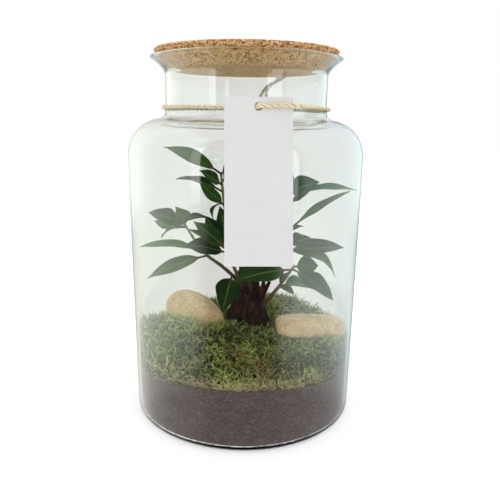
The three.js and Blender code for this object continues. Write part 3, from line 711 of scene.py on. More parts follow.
def card_grid():
    """Rows run from the hole over the front to the edge, round it and over the back to the hole."""
    ends = (CARD["drop"], CARD["drop"] - CARD["height"])
    corner = [atan2(y, x * CARD["width"] / 2) for x in (1, -1) for y in ends]
    angle = np.unique(np.concatenate([np.linspace(-pi, pi, 240, endpoint=False), corner]))
    half, ease = CARD["thickness"] / 2, 0.15
    across = np.linspace(0, 1, 16)[1:-1]
    rows = [(0, ease, half), *((s, 0.0, half) for s in across), (1, -ease, half), (1, 0.0, half - ease),
            (1, 0.0, ease - half), (1, -ease, -half), *((s, 0.0, -half) for s in across[::-1]),
            (0, ease, -half), (0, 0.0, ease - half), (0, 0.0, half - ease)]
    share, grow, out = (np.array(v, float)[:, None] for v in zip(*rows))
    reach = CARD["hole"] + grow + (card_outline(angle, 0)[None] - CARD["hole"]) * share
    reach = np.where(share == 1, card_outline(angle, 0)[None] + grow, reach)
    return beside_card(reach * np.cos(angle), np.broadcast_to(out, reach.shape), reach * np.sin(angle))


grid = card_grid()
card_mesh = make_mesh("card_tag", grid.reshape(-1, 3), grid_faces(*grid.shape[:2], True, True), smooth=False)

# %% Card stock
card, tree, shader, place = new_material("card", Roughness=0.75)
pulp = noise(tree, place, 1500.0, 4.0, 0.6)
cloud = noise(tree, place, 60.0, 3.0, 0.5)
paper = ramp(tree, pulp, [(0.3, (0.62, 0.62, 0.615)), (0.7, (0.66, 0.66, 0.655))])
shade = ramp(tree, cloud, [(0.35, (0.975, 0.975, 0.98)), (0.65, (1, 1, 1))])
paint(tree, shader, mix(tree, 1.0, paper, shade, "MULTIPLY"))
bump(tree, shader, pulp, 0.00004, 0.5)
add_piece("card_tag", card_mesh, card)

# %% [markdown]
# ## Potting soil
#
# The soil fills the bottom of the jar. What shows is its wall behind the glass: damp, fine, almost
# black-brown, with pale specks of mineral. The wall is pushed in here and there, never out, so that
# it stays clear of the glass.

# %% The soil's shape
SOIL = {"middle": 48.0, "front_rise": 3.0, "side_drop": 8.0, "radius": 91.0}
TRUNK_X = 4.0
FOOT_ROUND = 1.7


def soil_top(x, y):
    """The height of the soil: higher at the front, lower at the left and right."""
    rise, drop = SOIL["front_rise"], SOIL["side_drop"]
    return SOIL["middle"] - rise * y / SOIL["radius"] - drop * (x / SOIL["radius"]) ** 2


def soil_grid(segments=360, wall_rows=48, top_rows=12, floor_rows=6):
    """Rows run from the middle of the floor out, up the wall and in again over the top to the trunk."""
    angle = np.linspace(0, 2 * pi, segments, endpoint=False)[None]
    low = JAR["floor"] + GAP
    foot = JAR["foot_radius"] - JAR["wall"] - GAP
    floor_r = np.linspace(0, foot, floor_rows)[:, None] + 0 * angle
    rim = body_inner_radius(SOIL["middle"]) - GAP
    rim_z = soil_top(rim * np.cos(angle), rim * np.sin(angle))
    share = np.linspace(0, 1, wall_rows)[1:, None]
    wall_z = low + (rim_z - low) * share
    rounded = np.sqrt(1 - np.clip(1 - (wall_z - low) / FOOT_ROUND, 0, 1) ** 2)
    wall_r = foot + (body_inner_radius(wall_z) - GAP - foot) * rounded
    top_r = np.linspace(rim, 0, top_rows)[1:, None] + 0 * angle
    top_z = soil_top(top_r * np.cos(angle), top_r * np.sin(angle))
    radius = np.vstack([floor_r, wall_r, top_r])
    z = np.vstack([np.full_like(floor_r, low), wall_z, top_z])
    return polar(radius, angle, z)


grid = soil_grid()
points = grid.reshape(-1, 3)
crumbs = 0.45 * np.clip(rough(points, 3.0, 3, 21) + 0.2, 0, 2)
shrink = 1 - crumbs / np.maximum(np.hypot(points[:, 0], points[:, 1]), 20)
points = np.stack([points[:, 0] * shrink, points[:, 1] * shrink, points[:, 2]], 1)
soil_mesh = make_mesh("potting_soil", points, grid_faces(*grid.shape[:2], wrap_columns=True))

# %% Soil
soil, tree, shader, place = new_material("soil", Roughness=0.95, Specular_IOR_Level=0.2)
crumb = node(tree, "TexVoronoi", {"Vector": place, "Scale": 900.0})
earth = ramp(tree, node(tree, "SeparateColor", {"Color": crumb.outputs["Color"]}).outputs[0], [
    (0.0, (0.130, 0.098, 0.104)), (0.5, (0.165, 0.127, 0.133)), (0.85, (0.195, 0.152, 0.155)),
    (1.0, (0.27, 0.21, 0.20))])
damp = ramp(tree, noise(tree, place, 90.0), [(0.35, (0.88, 0.86, 0.88)), (0.65, (1.08, 1.06, 1.06))])
speck = node(tree, "TexVoronoi", {"Vector": place, "Scale": 260.0, "Randomness": 1.0})
pale = map_range(tree, speck.outputs["Distance"], 0.10, 0.06)
colour = mix(tree, pale, mix(tree, 1.0, earth, damp, "MULTIPLY"), (0.34, 0.25, 0.18))
paint(tree, shader, colour)
bump(tree, shader, crumb.outputs["Distance"], 0.0008, 0.8)
add_piece("potting_soil", soil_mesh, soil)

# %% [markdown]
# ## River pebbles
#
# A water-worn stone is an egg shape with a few shallow swells. The unit ball is swollen by a slow
# wave, stretched to the stone's half-sizes, tilted, and set down where it lies. It is the same rule
# as in the solid model, with more points and a fine skin of grain on top.

# %% The pebbles' shapes
PEBBLES = {
    "pebble_left": {
        "at": (-41.5, -20, 85.5), "half": (27, 18, 17), "tilt": 28, "turn": -8, "lump": 0.05, "power": 2},
    "pebble_right": {
        "at": (55.9, -26, 78), "half": (30, 15.5, 8.1), "tilt": 1, "turn": 6, "lump": 0.04, "power": 3},
}
PEBBLE_ROWS, PEBBLE_COLUMNS = 76, 120


def ball(rows, columns):
    """Points of the unit ball, row by row from one pole to the other."""
    down = np.linspace(0, pi, rows)[:, None]
    round_it = np.linspace(0, 2 * pi, columns, endpoint=False)[None]
    x, y = np.sin(down) * np.cos(round_it), np.sin(down) * np.sin(round_it)
    return np.stack([x, np.cos(down) + 0 * round_it, y], -1)


def pebble_turn(shape):
    """The matrix that tilts a stone about Y and then turns it about Z."""
    turn = Matrix.Rotation(radians(shape["turn"]), 3, "Z")
    return np.array(turn @ Matrix.Rotation(radians(shape["tilt"]), 3, "Y"))


def pebble_points(shape, unit):
    """The ball made fuller, where |x|^p + |y|^p + |z|^p = 1, swollen by sin(2.3x + 1) cos(2.9y + z),
    stretched, tilted and turned."""
    unit = unit / (np.abs(unit) ** shape["power"]).sum(-1, keepdims=True) ** (1 / shape["power"])
    swell = 1 + shape["lump"] * np.sin(2.3 * unit[..., 0] + 1) * np.cos(2.9 * unit[..., 1] + unit[..., 2])
    return unit * swell[..., None] * np.array(shape["half"]) @ pebble_turn(shape).T + np.array(shape["at"])


# %% Stone
stone, tree, shader, place = new_material("stone", Roughness=0.7)
mottle = ramp(tree, noise(tree, place, 75.0, 6.0, 0.7), [
    (0.34, (0.54, 0.34, 0.16)), (0.46, (0.75, 0.52, 0.28)), (0.60, (0.88, 0.69, 0.43))])
grit = ramp(tree, noise(tree, place, 800.0, 4.0, 0.8), [(0.38, (0.60, 0.48, 0.38)), (0.54, (1, 1, 1))])
dots = node(tree, "TexVoronoi", {"Vector": place, "Scale": 420.0})
dark = map_range(tree, dots.outputs["Distance"], 0.16, 0.08, 0.0, 0.55)
colour = mix(tree, dark, mix(tree, 0.8, mottle, grit, "MULTIPLY"), (0.20, 0.14, 0.09))
paint(tree, shader, colour)
bump(tree, shader, noise(tree, place, 1300.0, 3.0, 0.75), 0.0002, 0.5)
for number, (name, shape) in enumerate(PEBBLES.items()):
    smooth_skin = pebble_points(shape, ball(PEBBLE_ROWS, PEBBLE_COLUMNS))
    grain = 1 + 0.006 * rough(smooth_skin, 7.0, 4, 31 + number)
    middle = np.array(shape["at"])
    points = middle + (smooth_skin - middle) * grain[..., None]
    faces = grid_faces(PEBBLE_ROWS, PEBBLE_COLUMNS, wrap_columns=True)
    add_piece(name, make_mesh(name, points.reshape(-1, 3), faces), stone)

# %% [markdown]
# ## Trunk
#
# The fig's trunk is swollen like a bulb, ribbed and very dark. Its radius against height follows the
# solid model, ribs wind round it, and noise stretched along the trunk gives flaking bark. Two cut-back
# stubs stand on its right side and one behind it.

# %% The trunk's shape
TRUNK_PROFILE = np.array([
    (28, 7), (36, 14), (46, 20), (56, 22.3), (66, 21.8), (76, 18.6), (86, 14.6), (95, 11.8), (104, 10.2),
    (111, 9.4), (116, 7.2)], float)
RIBS = ((3, 0.07, 1 / 17, 0.0), (5, 0.05, -1 / 11, 1.0))
STUB_SIDES = 36
STUBS = (
    ([(9, -4, 86), (15, -5, 97), (22, -6, 110)], (5.0, 1.4)),
    ([(8, -5, 94), (15, -8, 104), (17, -9, 113)], (3.6, 1.2)),
    ([(2, 4, 96), (-3, 8, 106), (-5, 9, 114)], (4.0, 2.2)),
)


def trunk_radius(z, angle):
    """The profile's radius, swollen by ribs that wind up the trunk."""
    ribs = sum(depth * np.sin(count * angle + wind * z + start) for count, depth, wind, start in RIBS)
    return np.interp(z, *TRUNK_PROFILE.T) * (1 + ribs)


def bark_relief(points, seed):
    """Flakes that are longer than wide, and fine grain between them, in mm."""
    flat = points * np.array([1, 1, 0.45])
    return 0.75 * rough(flat, 4.5, 3, seed) + 0.35 * np.abs(rough(flat, 2.2, 2, seed + 5))


def trunk_points(rows=150, columns=140):
    """Rings from the buried root to the cut top, closed by a ring in the middle at both ends."""
    z = np.linspace(TRUNK_PROFILE[0, 0], TRUNK_PROFILE[-1, 0], rows)[:, None]
    angle = np.linspace(0, 2 * pi, columns, endpoint=False)[None]
    radius = trunk_radius(z, angle)
    radius = radius - 0.5 + bark_relief(polar(radius, angle, z), 41)
    ends = [np.stack([0 * angle, 0 * angle, z[i, 0] + 0 * angle], -1) for i in (0, -1)]
    return np.concatenate([ends[0], polar(radius, angle, z), ends[1]]) + np.array([TRUNK_X, 0, 0])


grid = trunk_points()
parts = [(grid.reshape(-1, 3), grid_faces(*grid.shape[:2], wrap_columns=True), {})]
for number, (route, (thick, thin)) in enumerate(STUBS):
    line, along = even_steps(flow(route, 12), 0.5)
    points, faces = tube(line, np.linspace(thick, thin, len(line)) * 0.97, STUB_SIDES)
    out = points - np.repeat(np.vstack([line[:1], line, line[-1:]]), STUB_SIDES, 0)
    out /= np.maximum(np.linalg.norm(out, axis=1)[:, None], 1e-6)
    parts.append((points + out * bark_relief(points, 51 + number)[:, None] * 0.45, faces, {}))
trunk_mesh = make_mesh("fig_trunk", *joined(parts)[:2])

# %% Bark
bark, tree, shader, place = new_material("bark", Roughness=0.9, Specular_IOR_Level=0.1)
long_place = node(tree, "Mapping", {"Vector": place, "Scale": (1.0, 1.0, 0.4)}).outputs[0]
flake = noise(tree, long_place, 260.0, 6.0, 0.7)
worn = noise(tree, place, 55.0, 3.0, 0.5)
skin = ramp(tree, flake, [
    (0.36, (0.007, 0.004, 0.003)), (0.52, (0.020, 0.011, 0.008)), (0.70, (0.070, 0.036, 0.024))])
red = ramp(tree, worn, [(0.45, (1.0, 1.0, 1.0)), (0.70, (2.2, 1.5, 1.3))])
paint(tree, shader, mix(tree, 1.0, skin, red, "MULTIPLY"))
bump(tree, shader, flake, 0.0008, 0.8)
add_piece("fig_trunk", trunk_mesh, bark)

# %% [markdown]
# ## Leafy stems
#
# Each stem carries its leaves as one piece. A leaf is a function of two numbers: how far along it,
# from stalk to tip, and how far across, from edge to edge. Its half-width is a pointed oval, its two
# halves fold up along the midrib, and the whole arches. The midrib is a groove above and a ridge
# below, side veins press in faintly, and the edge waves a little.

# %% What the stems carry
# Each stem has a route, its radius at both ends and its leaves. A leaf has its share of the stem, the
# place of its tip, its width, the way that its upper side faces, and how far it arches.
LEAF = {"stalk": 0.15, "stalk_half": 0.8, "tip_half": 0.35, "blade": 0.7, "stalk_thick": 1.4}
VEINS, VEIN_SLANT = 13.0, 2.2
SHOOTS = {
    "shoot_left_top": (
        [(0, -1, 110), (-5, -3, 130), (-13, -7, 155), (-17, -9, 176), (-20, -10, 202)], (2.2, 1), [
            (1, (-65, -20, 224), 14, (0.4, -0.8, 0.6), 4), (0.84, (-59, 4, 196), 12, (0, -0.3, 1), 4),
            (0.9, (-36, -26, 206), 11, (-0.3, -0.8, 0.6), 1),
            (0.72, (-36, -32, 199), 10, (-0.5, -0.8, 0.6), 1),
            (0.74, (-26, -18, 166), 9, (-0.9, -0.4, 0.4), 5), (1, (-6, -16, 209), 10, (0.2, -0.9, 0.5), 2),
            (0.92, (-3, 18, 210), 11, (0, 0.5, 1), 2), (0.7, (-2, -30, 196), 14, (0, -0.8, 0.7), 3)]),
    "shoot_left_middle": (
        [(-2, -7, 104), (-7, -13, 120), (-12, -19, 134), (-16, -22, 143)], (1.9, 0.9), [
            (1, (-39, -42, 168), 14, (-0.3, -0.8, 0.6), 2), (0.98, (-43, -38, 161), 10, (0, -0.7, 0.9), 1),
            (0.86, (-49, -30, 146), 17, (0, -0.7, 0.8), 3), (0.9, (-21, -12, 176), 14, (0.3, -0.9, 0.3), 3),
            (0.95, (-32, -20, 169), 16, (-0.3, -0.7, 0.8), 3),
            (0.4, (7, -27, 128), 10, (0.2, -0.9, 0.4), -1)]),
    "shoot_left_low": (
        [(-3, -3, 107), (-10, -6, 115), (-20, -10, 125), (-31, -13, 134), (-40, -16, 146), (-49, -18, 161)],
        (1.8, 0.9), [
            (0.55, (-78, -32, 119), 13, (0, -0.75, 0.7), 4), (0.62, (-84, -27, 144), 12, (0, -0.35, 1), 4),
            (1, (-77, -26, 172), 15, (-0.2, -0.7, 0.7), 2), (1, (-54, -34, 178), 15, (0.2, -0.9, 0.3), 2),
            (1, (-29, -30, 169), 8, (-0.1, -0.6, 0.8), 5), (0.96, (-71, -5, 147), 11, (-0.3, -0.3, 1), 4),
            (0.97, (-78, 4, 160), 15, (-0.2, -0.6, 1), -1), (0.16, (-17, -40, 94), 21, (0, -1, 0.35), 4)]),
    "shoot_right_low": (
        [(14, -6, 86), (21, -8, 95), (30, -12, 108), (38, -14, 120), (42, -13, 127)], (2.1, 0.9), [
            (0.92, (71, -42, 106), 18, (0.3, -0.7, 0.7), 3), (0.54, (62, 20, 97), 17, (0, -0.6, 1), 4),
            (0.52, (43, -14, 101), 7, (0.6, -0.6, 0.5), 3), (0.9, (-7, -40, 120), 19, (0, -0.75, 0.7), 4),
            (0.86, (30, -30, 114), 8, (-0.6, -0.8, 0.2), 2),
            (0.96, (62, -14, 127), 17, (0.1, -0.9, 0.4), 2)]),
    "shoot_right_middle": (
        [(9, 1, 108), (21, 0, 122), (33, -1, 134), (39, -1, 148), (39, 0, 166), (38, 0, 186)], (2.1, 1), [
            (0.43, (79, -32, 147), 17, (0.1, -0.8, 0.7), 1),
            (0.42, (81, 10, 111), 15, (0.4, -0.5, 0.9), 11), (0.47, (59, 20, 143), 17, (0, -0.6, 0.8), 2),
            (0.66, (84, -22, 191), 9, (-0.4, -0.6, 0.8), 3), (0.98, (91, -16, 191), 12, (0, -0.4, 1), 4),
            (0.99, (60, -14, 197), 19, (0.1, -0.9, 0.5), 4), (1, (30, 6, 208), 12, (0, -0.7, 0.6), 3),
            (0.9, (51, 4, 188), 6, (0.3, -0.8, 0.5), 1), (0.62, (49, -6, 159), 5, (-0.3, -0.5, 0.8), 2)]),
    "shoot_crown": (
        [(5, 4, 110), (6, 9, 128), (7, 12, 146), (8, 14, 168), (10, 15, 188)], (2.6, 1), [
            (0.45, (-8, 52, 146), 15, (0, 0.5, 1), 4), (0.5, (24, 56, 140), 16, (0, 0.5, 1), 5),
            (0.62, (34, 44, 166), 14, (0, 0.4, 1), 3), (0.72, (-10, 46, 178), 14, (-0.2, 0.4, 1), 3),
            (0.86, (12, 54, 194), 14, (0, 0.4, 1), 3), (0.96, (26, 24, 214), 13, (0.4, 0.2, 1), 3),
            (1, (12, -10, 214), 14, (0, -0.9, 0.6), 3), (0.7, (12, -30, 176), 14, (0, -0.7, 0.7), 3)]),
}
print("leaves:", sum(len(leaves) for _, _, leaves in SHOOTS.values()))


# %% One leaf
def leaf_sheet(base, tip, width, face, arch, seed, rows=30, columns=16, fold=0.3):
    """Rows run from the stalk to the tip, and columns go over the upper side and back under it.
    With s from 0 to 1 along the blade and v along the whole leaf, the half-width is half the width
    times (sin of pi s^0.82)^0.95, and the arch lifts the middle line by 4 arch v (1 - v)."""
    draw = np.random.default_rng(seed)
    base, tip = np.asarray(base, float), np.asarray(tip, float)
    along = tip - base
    length = np.linalg.norm(along)
    heading = along / length
    normal = np.asarray(face, float) - heading * np.dot(face, heading)
    normal /= np.linalg.norm(normal)
    across = np.cross(heading, normal)
    v = (np.linspace(0, 1, rows) ** 1.05)[:, None]
    u = np.concatenate([np.linspace(-1, 1, columns), np.linspace(1, -1, columns)])[None]
    side = np.concatenate([np.ones(columns), -np.ones(columns)])[None]
    s = np.clip((v - LEAF["stalk"]) / (1 - LEAF["stalk"]), 0, 1)
    oval = np.sin(pi * s**0.82) ** 0.95
    half = np.maximum(width / 2 * oval, LEAF["stalk_half"] + (LEAF["tip_half"] - LEAF["stalk_half"]) * s)
    blade = np.clip(s * 6, 0, 1)
    edge = np.abs(u)
    thin = LEAF["stalk_thick"] + (LEAF["blade"] * 0.75 - LEAF["stalk_thick"]) * blade
    thickness = thin * np.sqrt(np.clip(1.02 - edge**6, 0.02, 1))
    reach = u * half
    phase, waves = draw.uniform(0, 2 * pi, 2), draw.uniform(1.5, 2.6)
    wave = 0.035 * width * blade * edge**2 * np.sin(2 * pi * waves * v + phase[0] + 1.2 * np.sign(u))
    veins = np.sin(2 * pi * (VEINS * s - VEIN_SLANT * edge))
    veins = 0.07 * blade * np.sin(pi * s) * veins * np.clip(edge * 4, 0, 1)
    midrib = blade * np.exp(-((reach / 0.55) ** 2)) * np.where(side > 0, -0.28, -0.45)
    twist = draw.uniform(-0.12, 0.12) * v**2 * reach
    rise = 4 * arch * v * (1 - v) + fold * np.sqrt(reach**2 + 0.3) + side * thickness / 2
    rise = rise + wave + veins * side + midrib + twist
    points = base + v[..., None] * length * heading + reach[..., None] * across + rise[..., None] * normal
    tone = np.full((rows, 2 * columns), draw.random())
    values = {"across": u * blade + 0 * v, "along": s + 0 * u, "tone": tone, "under": (side < 0) + 0 * v,
              "leaf": blade + 0 * u}
    return points.reshape(-1, 3), slab_faces(rows, columns), values


# %% One stem with its leaves
STEM_SIDES = 14


def stem_sheet(line, thick, thin, seed):
    """A tapered tube with a slight ring at each bud and a grown, uneven skin."""
    line, along = even_steps(line, 0.8)
    share = along / along[-1]
    radius = (thick + (thin - thick) * share) * (1 + 0.05 * value_noise(np.stack([along] * 3, 1), 2.5, seed))
    radius = radius * (1 + 0.1 * np.exp(-((along % 11 - 5.5) / 0.9) ** 2))
    points, faces = tube(line, radius, STEM_SIDES)
    none = np.zeros(len(points))
    share = np.repeat(np.concatenate([[0], share, [1]]), STEM_SIDES)
    return points, faces, {"across": none, "along": share, "tone": none + 0.5, "under": none, "leaf": none}


def shoot_mesh(name, route, girth, leaves, seed):
    """The stem's tube and its leaves as one mesh. A leaf grows where its share of the stem says."""
    line, along = even_steps(flow(route, 40), 0.25)
    parts = [stem_sheet(line, *girth, seed)]
    for number, (at, tip, width, face, arch) in enumerate(leaves):
        base = line[round(at * (len(line) - 1))]
        parts.append(leaf_sheet(base, tip, width, face, arch, seed * 100 + number))
    return make_mesh(name, *joined(parts))


# %% [markdown]
# A fig leaf is waxy, deep green above and paler below, with a pale yellow-green midrib. The stems
# turn from green at their tips to brown where they are old.

# %% Leaf
leaf, tree, shader, place = new_material("leaf", Roughness=0.45, Specular_IOR_Level=0.08)
upper = ramp(tree, attribute(tree, "tone"), [
    (0.0, (0.005, 0.022, 0.003)), (0.5, (0.010, 0.038, 0.006)), (1.0, (0.040, 0.110, 0.015))])
patch = ramp(tree, noise(tree, place, 120.0), [(0.35, (0.72, 0.78, 0.7)), (0.65, (1.15, 1.1, 1.0))])
upper = mix(tree, 1.0, upper, patch, "MULTIPLY")
green = mix(tree, attribute(tree, "under"), upper, (0.075, 0.150, 0.045))
across = math(tree, "ABSOLUTE", attribute(tree, "across"))
green = mix(tree, map_range(tree, across, 0.09, 0.03, 0.0, 0.45), green, (0.20, 0.33, 0.06))
sloped = math(tree, "MULTIPLY", across, -VEIN_SLANT)
turns = math(tree, "MULTIPLY_ADD", attribute(tree, "along"), VEINS, sloped)
waves = math(tree, "COSINE", math(tree, "MULTIPLY", turns, 2 * pi))
green = mix(tree, map_range(tree, waves, 0.93, 1.0, 0.0, 0.14), green, (0.12, 0.24, 0.06))
wood = ramp(tree, attribute(tree, "along"), [
    (0.0, (0.10, 0.055, 0.035)), (0.55, (0.20, 0.15, 0.07)), (1.0, (0.20, 0.30, 0.08))])
skin = ramp(tree, noise(tree, place, 700.0, 3.0), [(0.35, (0.5, 0.5, 0.5)), (0.6, (1, 1, 1))])
wood = mix(tree, 0.7, wood, skin, "MULTIPLY")
paint(tree, shader, mix(tree, attribute(tree, "leaf"), wood, green))
bump(tree, shader, noise(tree, place, 1500.0, 2.0), 0.00006, 0.4)

for number, (name, (route, girth, leaves)) in enumerate(SHOOTS.items()):
    add_piece(name, shoot_mesh(name, route, girth, leaves, number + 1), leaf)

# %% [markdown]
# ## Moss
#
# Feather moss grows as thousands of sprigs that lie over each other. Each sprig is a bent stem with
# a row of tiny pointed leaves on both sides. One sprig is worked out once, as a few dozen faces, and
# then set down thousands of times with its own place, lean, turn and size, all as one array. Every
# fifth one grows against the glass. Under the sprigs lies a closed cushion, a little lower than the
# solid model's.

# %% The ground that the moss follows
# Each cushion is a sector between two bearings. Each mound has a middle, a height and a spread.
CUSHIONS = {"moss_back": (30, 150), "moss_left": (150, 232.5), "moss_front": (232.5, 307.5),
            "moss_right": (307.5, 390)}
SPRIGS_EACH, WALL_EVERY = 2350, 5
SPRIG_LENGTH, SPRIG_WIDTH, SPRIG_FULL_LENGTH = (7, 14.5), (0.85, 1.4), 9
MOUNDS = ((-66, -36, 26, 24), (-38, -46, 14, 13), (-16, -32, 12, 11), (5, -30, 6, 16),
          (34, 50, 15, 27), (-30, 50, 9, 25), (62, -24, 14, 25), (4, 0, 7, 24))
MOSS = {"middle": 58.0, "least": 3.0, "inner": 12.0, "front_dip": 4.0, "front_y": -92.0, "spread": 16.0}


def moss_top(x, y):
    """The cushions' height: a level, mounds that fall off like bells, tufts, never under the soil."""
    dip = MOSS["front_dip"] * np.exp(-((y - MOSS["front_y"]) ** 2) / (2 * MOSS["spread"] ** 2))
    tufts = 0.9 * np.sin(x / 3.1 + np.cos(y / 5)) * np.sin(y / 3.7 + x / 9) + 0.6 * np.sin(x / 1.9 - y / 2.3)
    mounds = sum(rise * np.exp(-((x - mx) ** 2 + (y - my) ** 2) / (2 * spread**2))
                 for mx, my, rise, spread in MOUNDS)
    return np.maximum(MOSS["middle"] - dip + mounds + tufts, soil_top(x, y) + MOSS["least"])


def cushion_sheet(bearings, sink=3.0, columns=48, rows=34):
    """A closed slab under the sprigs: a sunk copy of the moss's height above, the soil below."""
    start, end = np.radians(bearings)
    angle = np.linspace(start, end, columns)[None]
    radius = np.linspace(body_inner_radius(50) - GAP - 0.5, MOSS["inner"], rows)[:, None]
    inset = np.linspace(0.3, -0.3, columns)[None]
    x = radius * np.cos(angle) - inset * np.sin(angle)
    y = radius * np.sin(angle) + inset * np.cos(angle)
    low = soil_top(x, y) + 0.2
    bottom = np.stack([x, y, low], -1)
    top_z = np.maximum(moss_top(x, y) - sink, low + 0.6)
    for shape in PEBBLES.values():
        (px, py, pz), (hx, hy, hz) = shape["at"], shape["half"]
        lower = pz - 1.1 * hx * abs(sin(radians(shape["tilt"]))) - hz * 0.6
        near = ((x - px) / (hx * 0.9)) ** 2 + ((y - py) / (hy * 0.9)) ** 2 < 1
        top_z = np.where(near, np.minimum(top_z, max(lower, 56)), top_z)
    top = np.stack([x, y, np.maximum(top_z, low + 0.6)], -1)
    rings = np.concatenate([top, bottom[:, ::-1]], 1)
    flat = rings.reshape(-1, 3)
    none = np.zeros(len(flat))
    tone = 0.5 + 0.3 * value_noise(flat, 6.0, 60)
    faces = slab_faces(rows, columns)
    triangles = np.concatenate([faces[:, [0, 1, 2]], faces[:, [0, 2, 3]]])
    return flat, triangles, {"reach": none - 0.3, "tone": tone, "straw": none, "rust": none}


# %% One sprig
def outward(points, faces):
    """The faces of one closed body, turned round where they enclose a negative volume."""
    a, b, c = (points[faces[:, k]] for k in range(3))
    return faces if np.einsum("ij,ij->i", a, np.cross(b, c)).sum() > 0 else faces[:, ::-1]


GOLDEN_ANGLE = 137.5


def sprig(leaflets=10, arch=1.25):
    """A stem of unit length that rises along Z and arches over towards X, with leaflets all round it.
    The stem is a circle's arc. A leaflet is a closed spike of four faces, turned from the one before
    by the golden angle. Returns points, faces and each point's share of the length."""
    def frame_at(s):
        middle = np.array([(1 - cos(arch * s)) / arch, 0, sin(arch * s) / arch])
        ahead, out = (sin(arch * s), 0, cos(arch * s)), (cos(arch * s), 0, -sin(arch * s))
        return middle, np.array(ahead), np.array(out)

    side = np.array([0, 1.0, 0])
    stem, share = [], []
    for s in (0.0, 0.35, 0.7):
        middle, _, out = frame_at(s)
        thick = 0.045 * (1 - 0.5 * s)
        stem += [middle + thick * (cos(a) * out + sin(a) * side) for a in np.radians([0, 120, 240])]
        share += [s] * 3
    stem.append(frame_at(1.0)[0])
    share.append(1.0)
    walls = [(i + k, i + (k + 1) % 3, j + k) for i, j in ((0, 3), (3, 6)) for k in range(3)]
    walls += [(j + k, i + (k + 1) % 3, j + (k + 1) % 3) for i, j in ((0, 3), (3, 6)) for k in range(3)]
    walls += [(0, 2, 1), (6, 7, 9), (7, 8, 9), (8, 6, 9)]
    points, faces = [np.array(stem)], [outward(np.array(stem), np.array(walls))]
    spike = np.array([(0, 1, 3), (1, 2, 3), (2, 0, 3), (0, 2, 1)])
    for k in range(leaflets):
        s = 0.12 + 0.82 * k / (leaflets - 1)
        middle, along, out = frame_at(s)
        turn = radians(GOLDEN_ANGLE * k)
        away = cos(turn) * out + sin(turn) * side
        across = np.cross(along, away)
        long, wide = 0.21 * (1 - 0.35 * s), 0.036
        tip = middle + long * (0.84 * along + 0.54 * away)
        blade = np.array([middle + wide * across, middle - wide * across, middle + 0.7 * wide * away, tip])
        faces.append(outward(blade - blade.mean(0), spike) + len(share))
        points.append(blade)
        share += [s, s, s, min(1.0, s + long)]
    return np.concatenate(points), np.concatenate(faces), np.array(share)


SPRIG_POINTS, SPRIG_FACES, SPRIG_SHARE = sprig()
print("triangles in a sprig:", len(SPRIG_FACES))


# %% Where the sprigs stand
def clear_ground(x, y, z):
    """True where a sprig's root lies outside the trunk and the pebbles."""
    free = np.hypot(x - TRUNK_X, y) > np.interp(z, *TRUNK_PROFILE.T) - 0.5
    for shape in PEBBLES.values():
        local = (np.stack([x, y, z + 1.0], -1) - np.array(shape["at"])) @ pebble_turn(shape)
        local = local / np.array(shape["half"])
        free &= (np.abs(local) ** shape["power"]).sum(-1) > 0.95
    return free


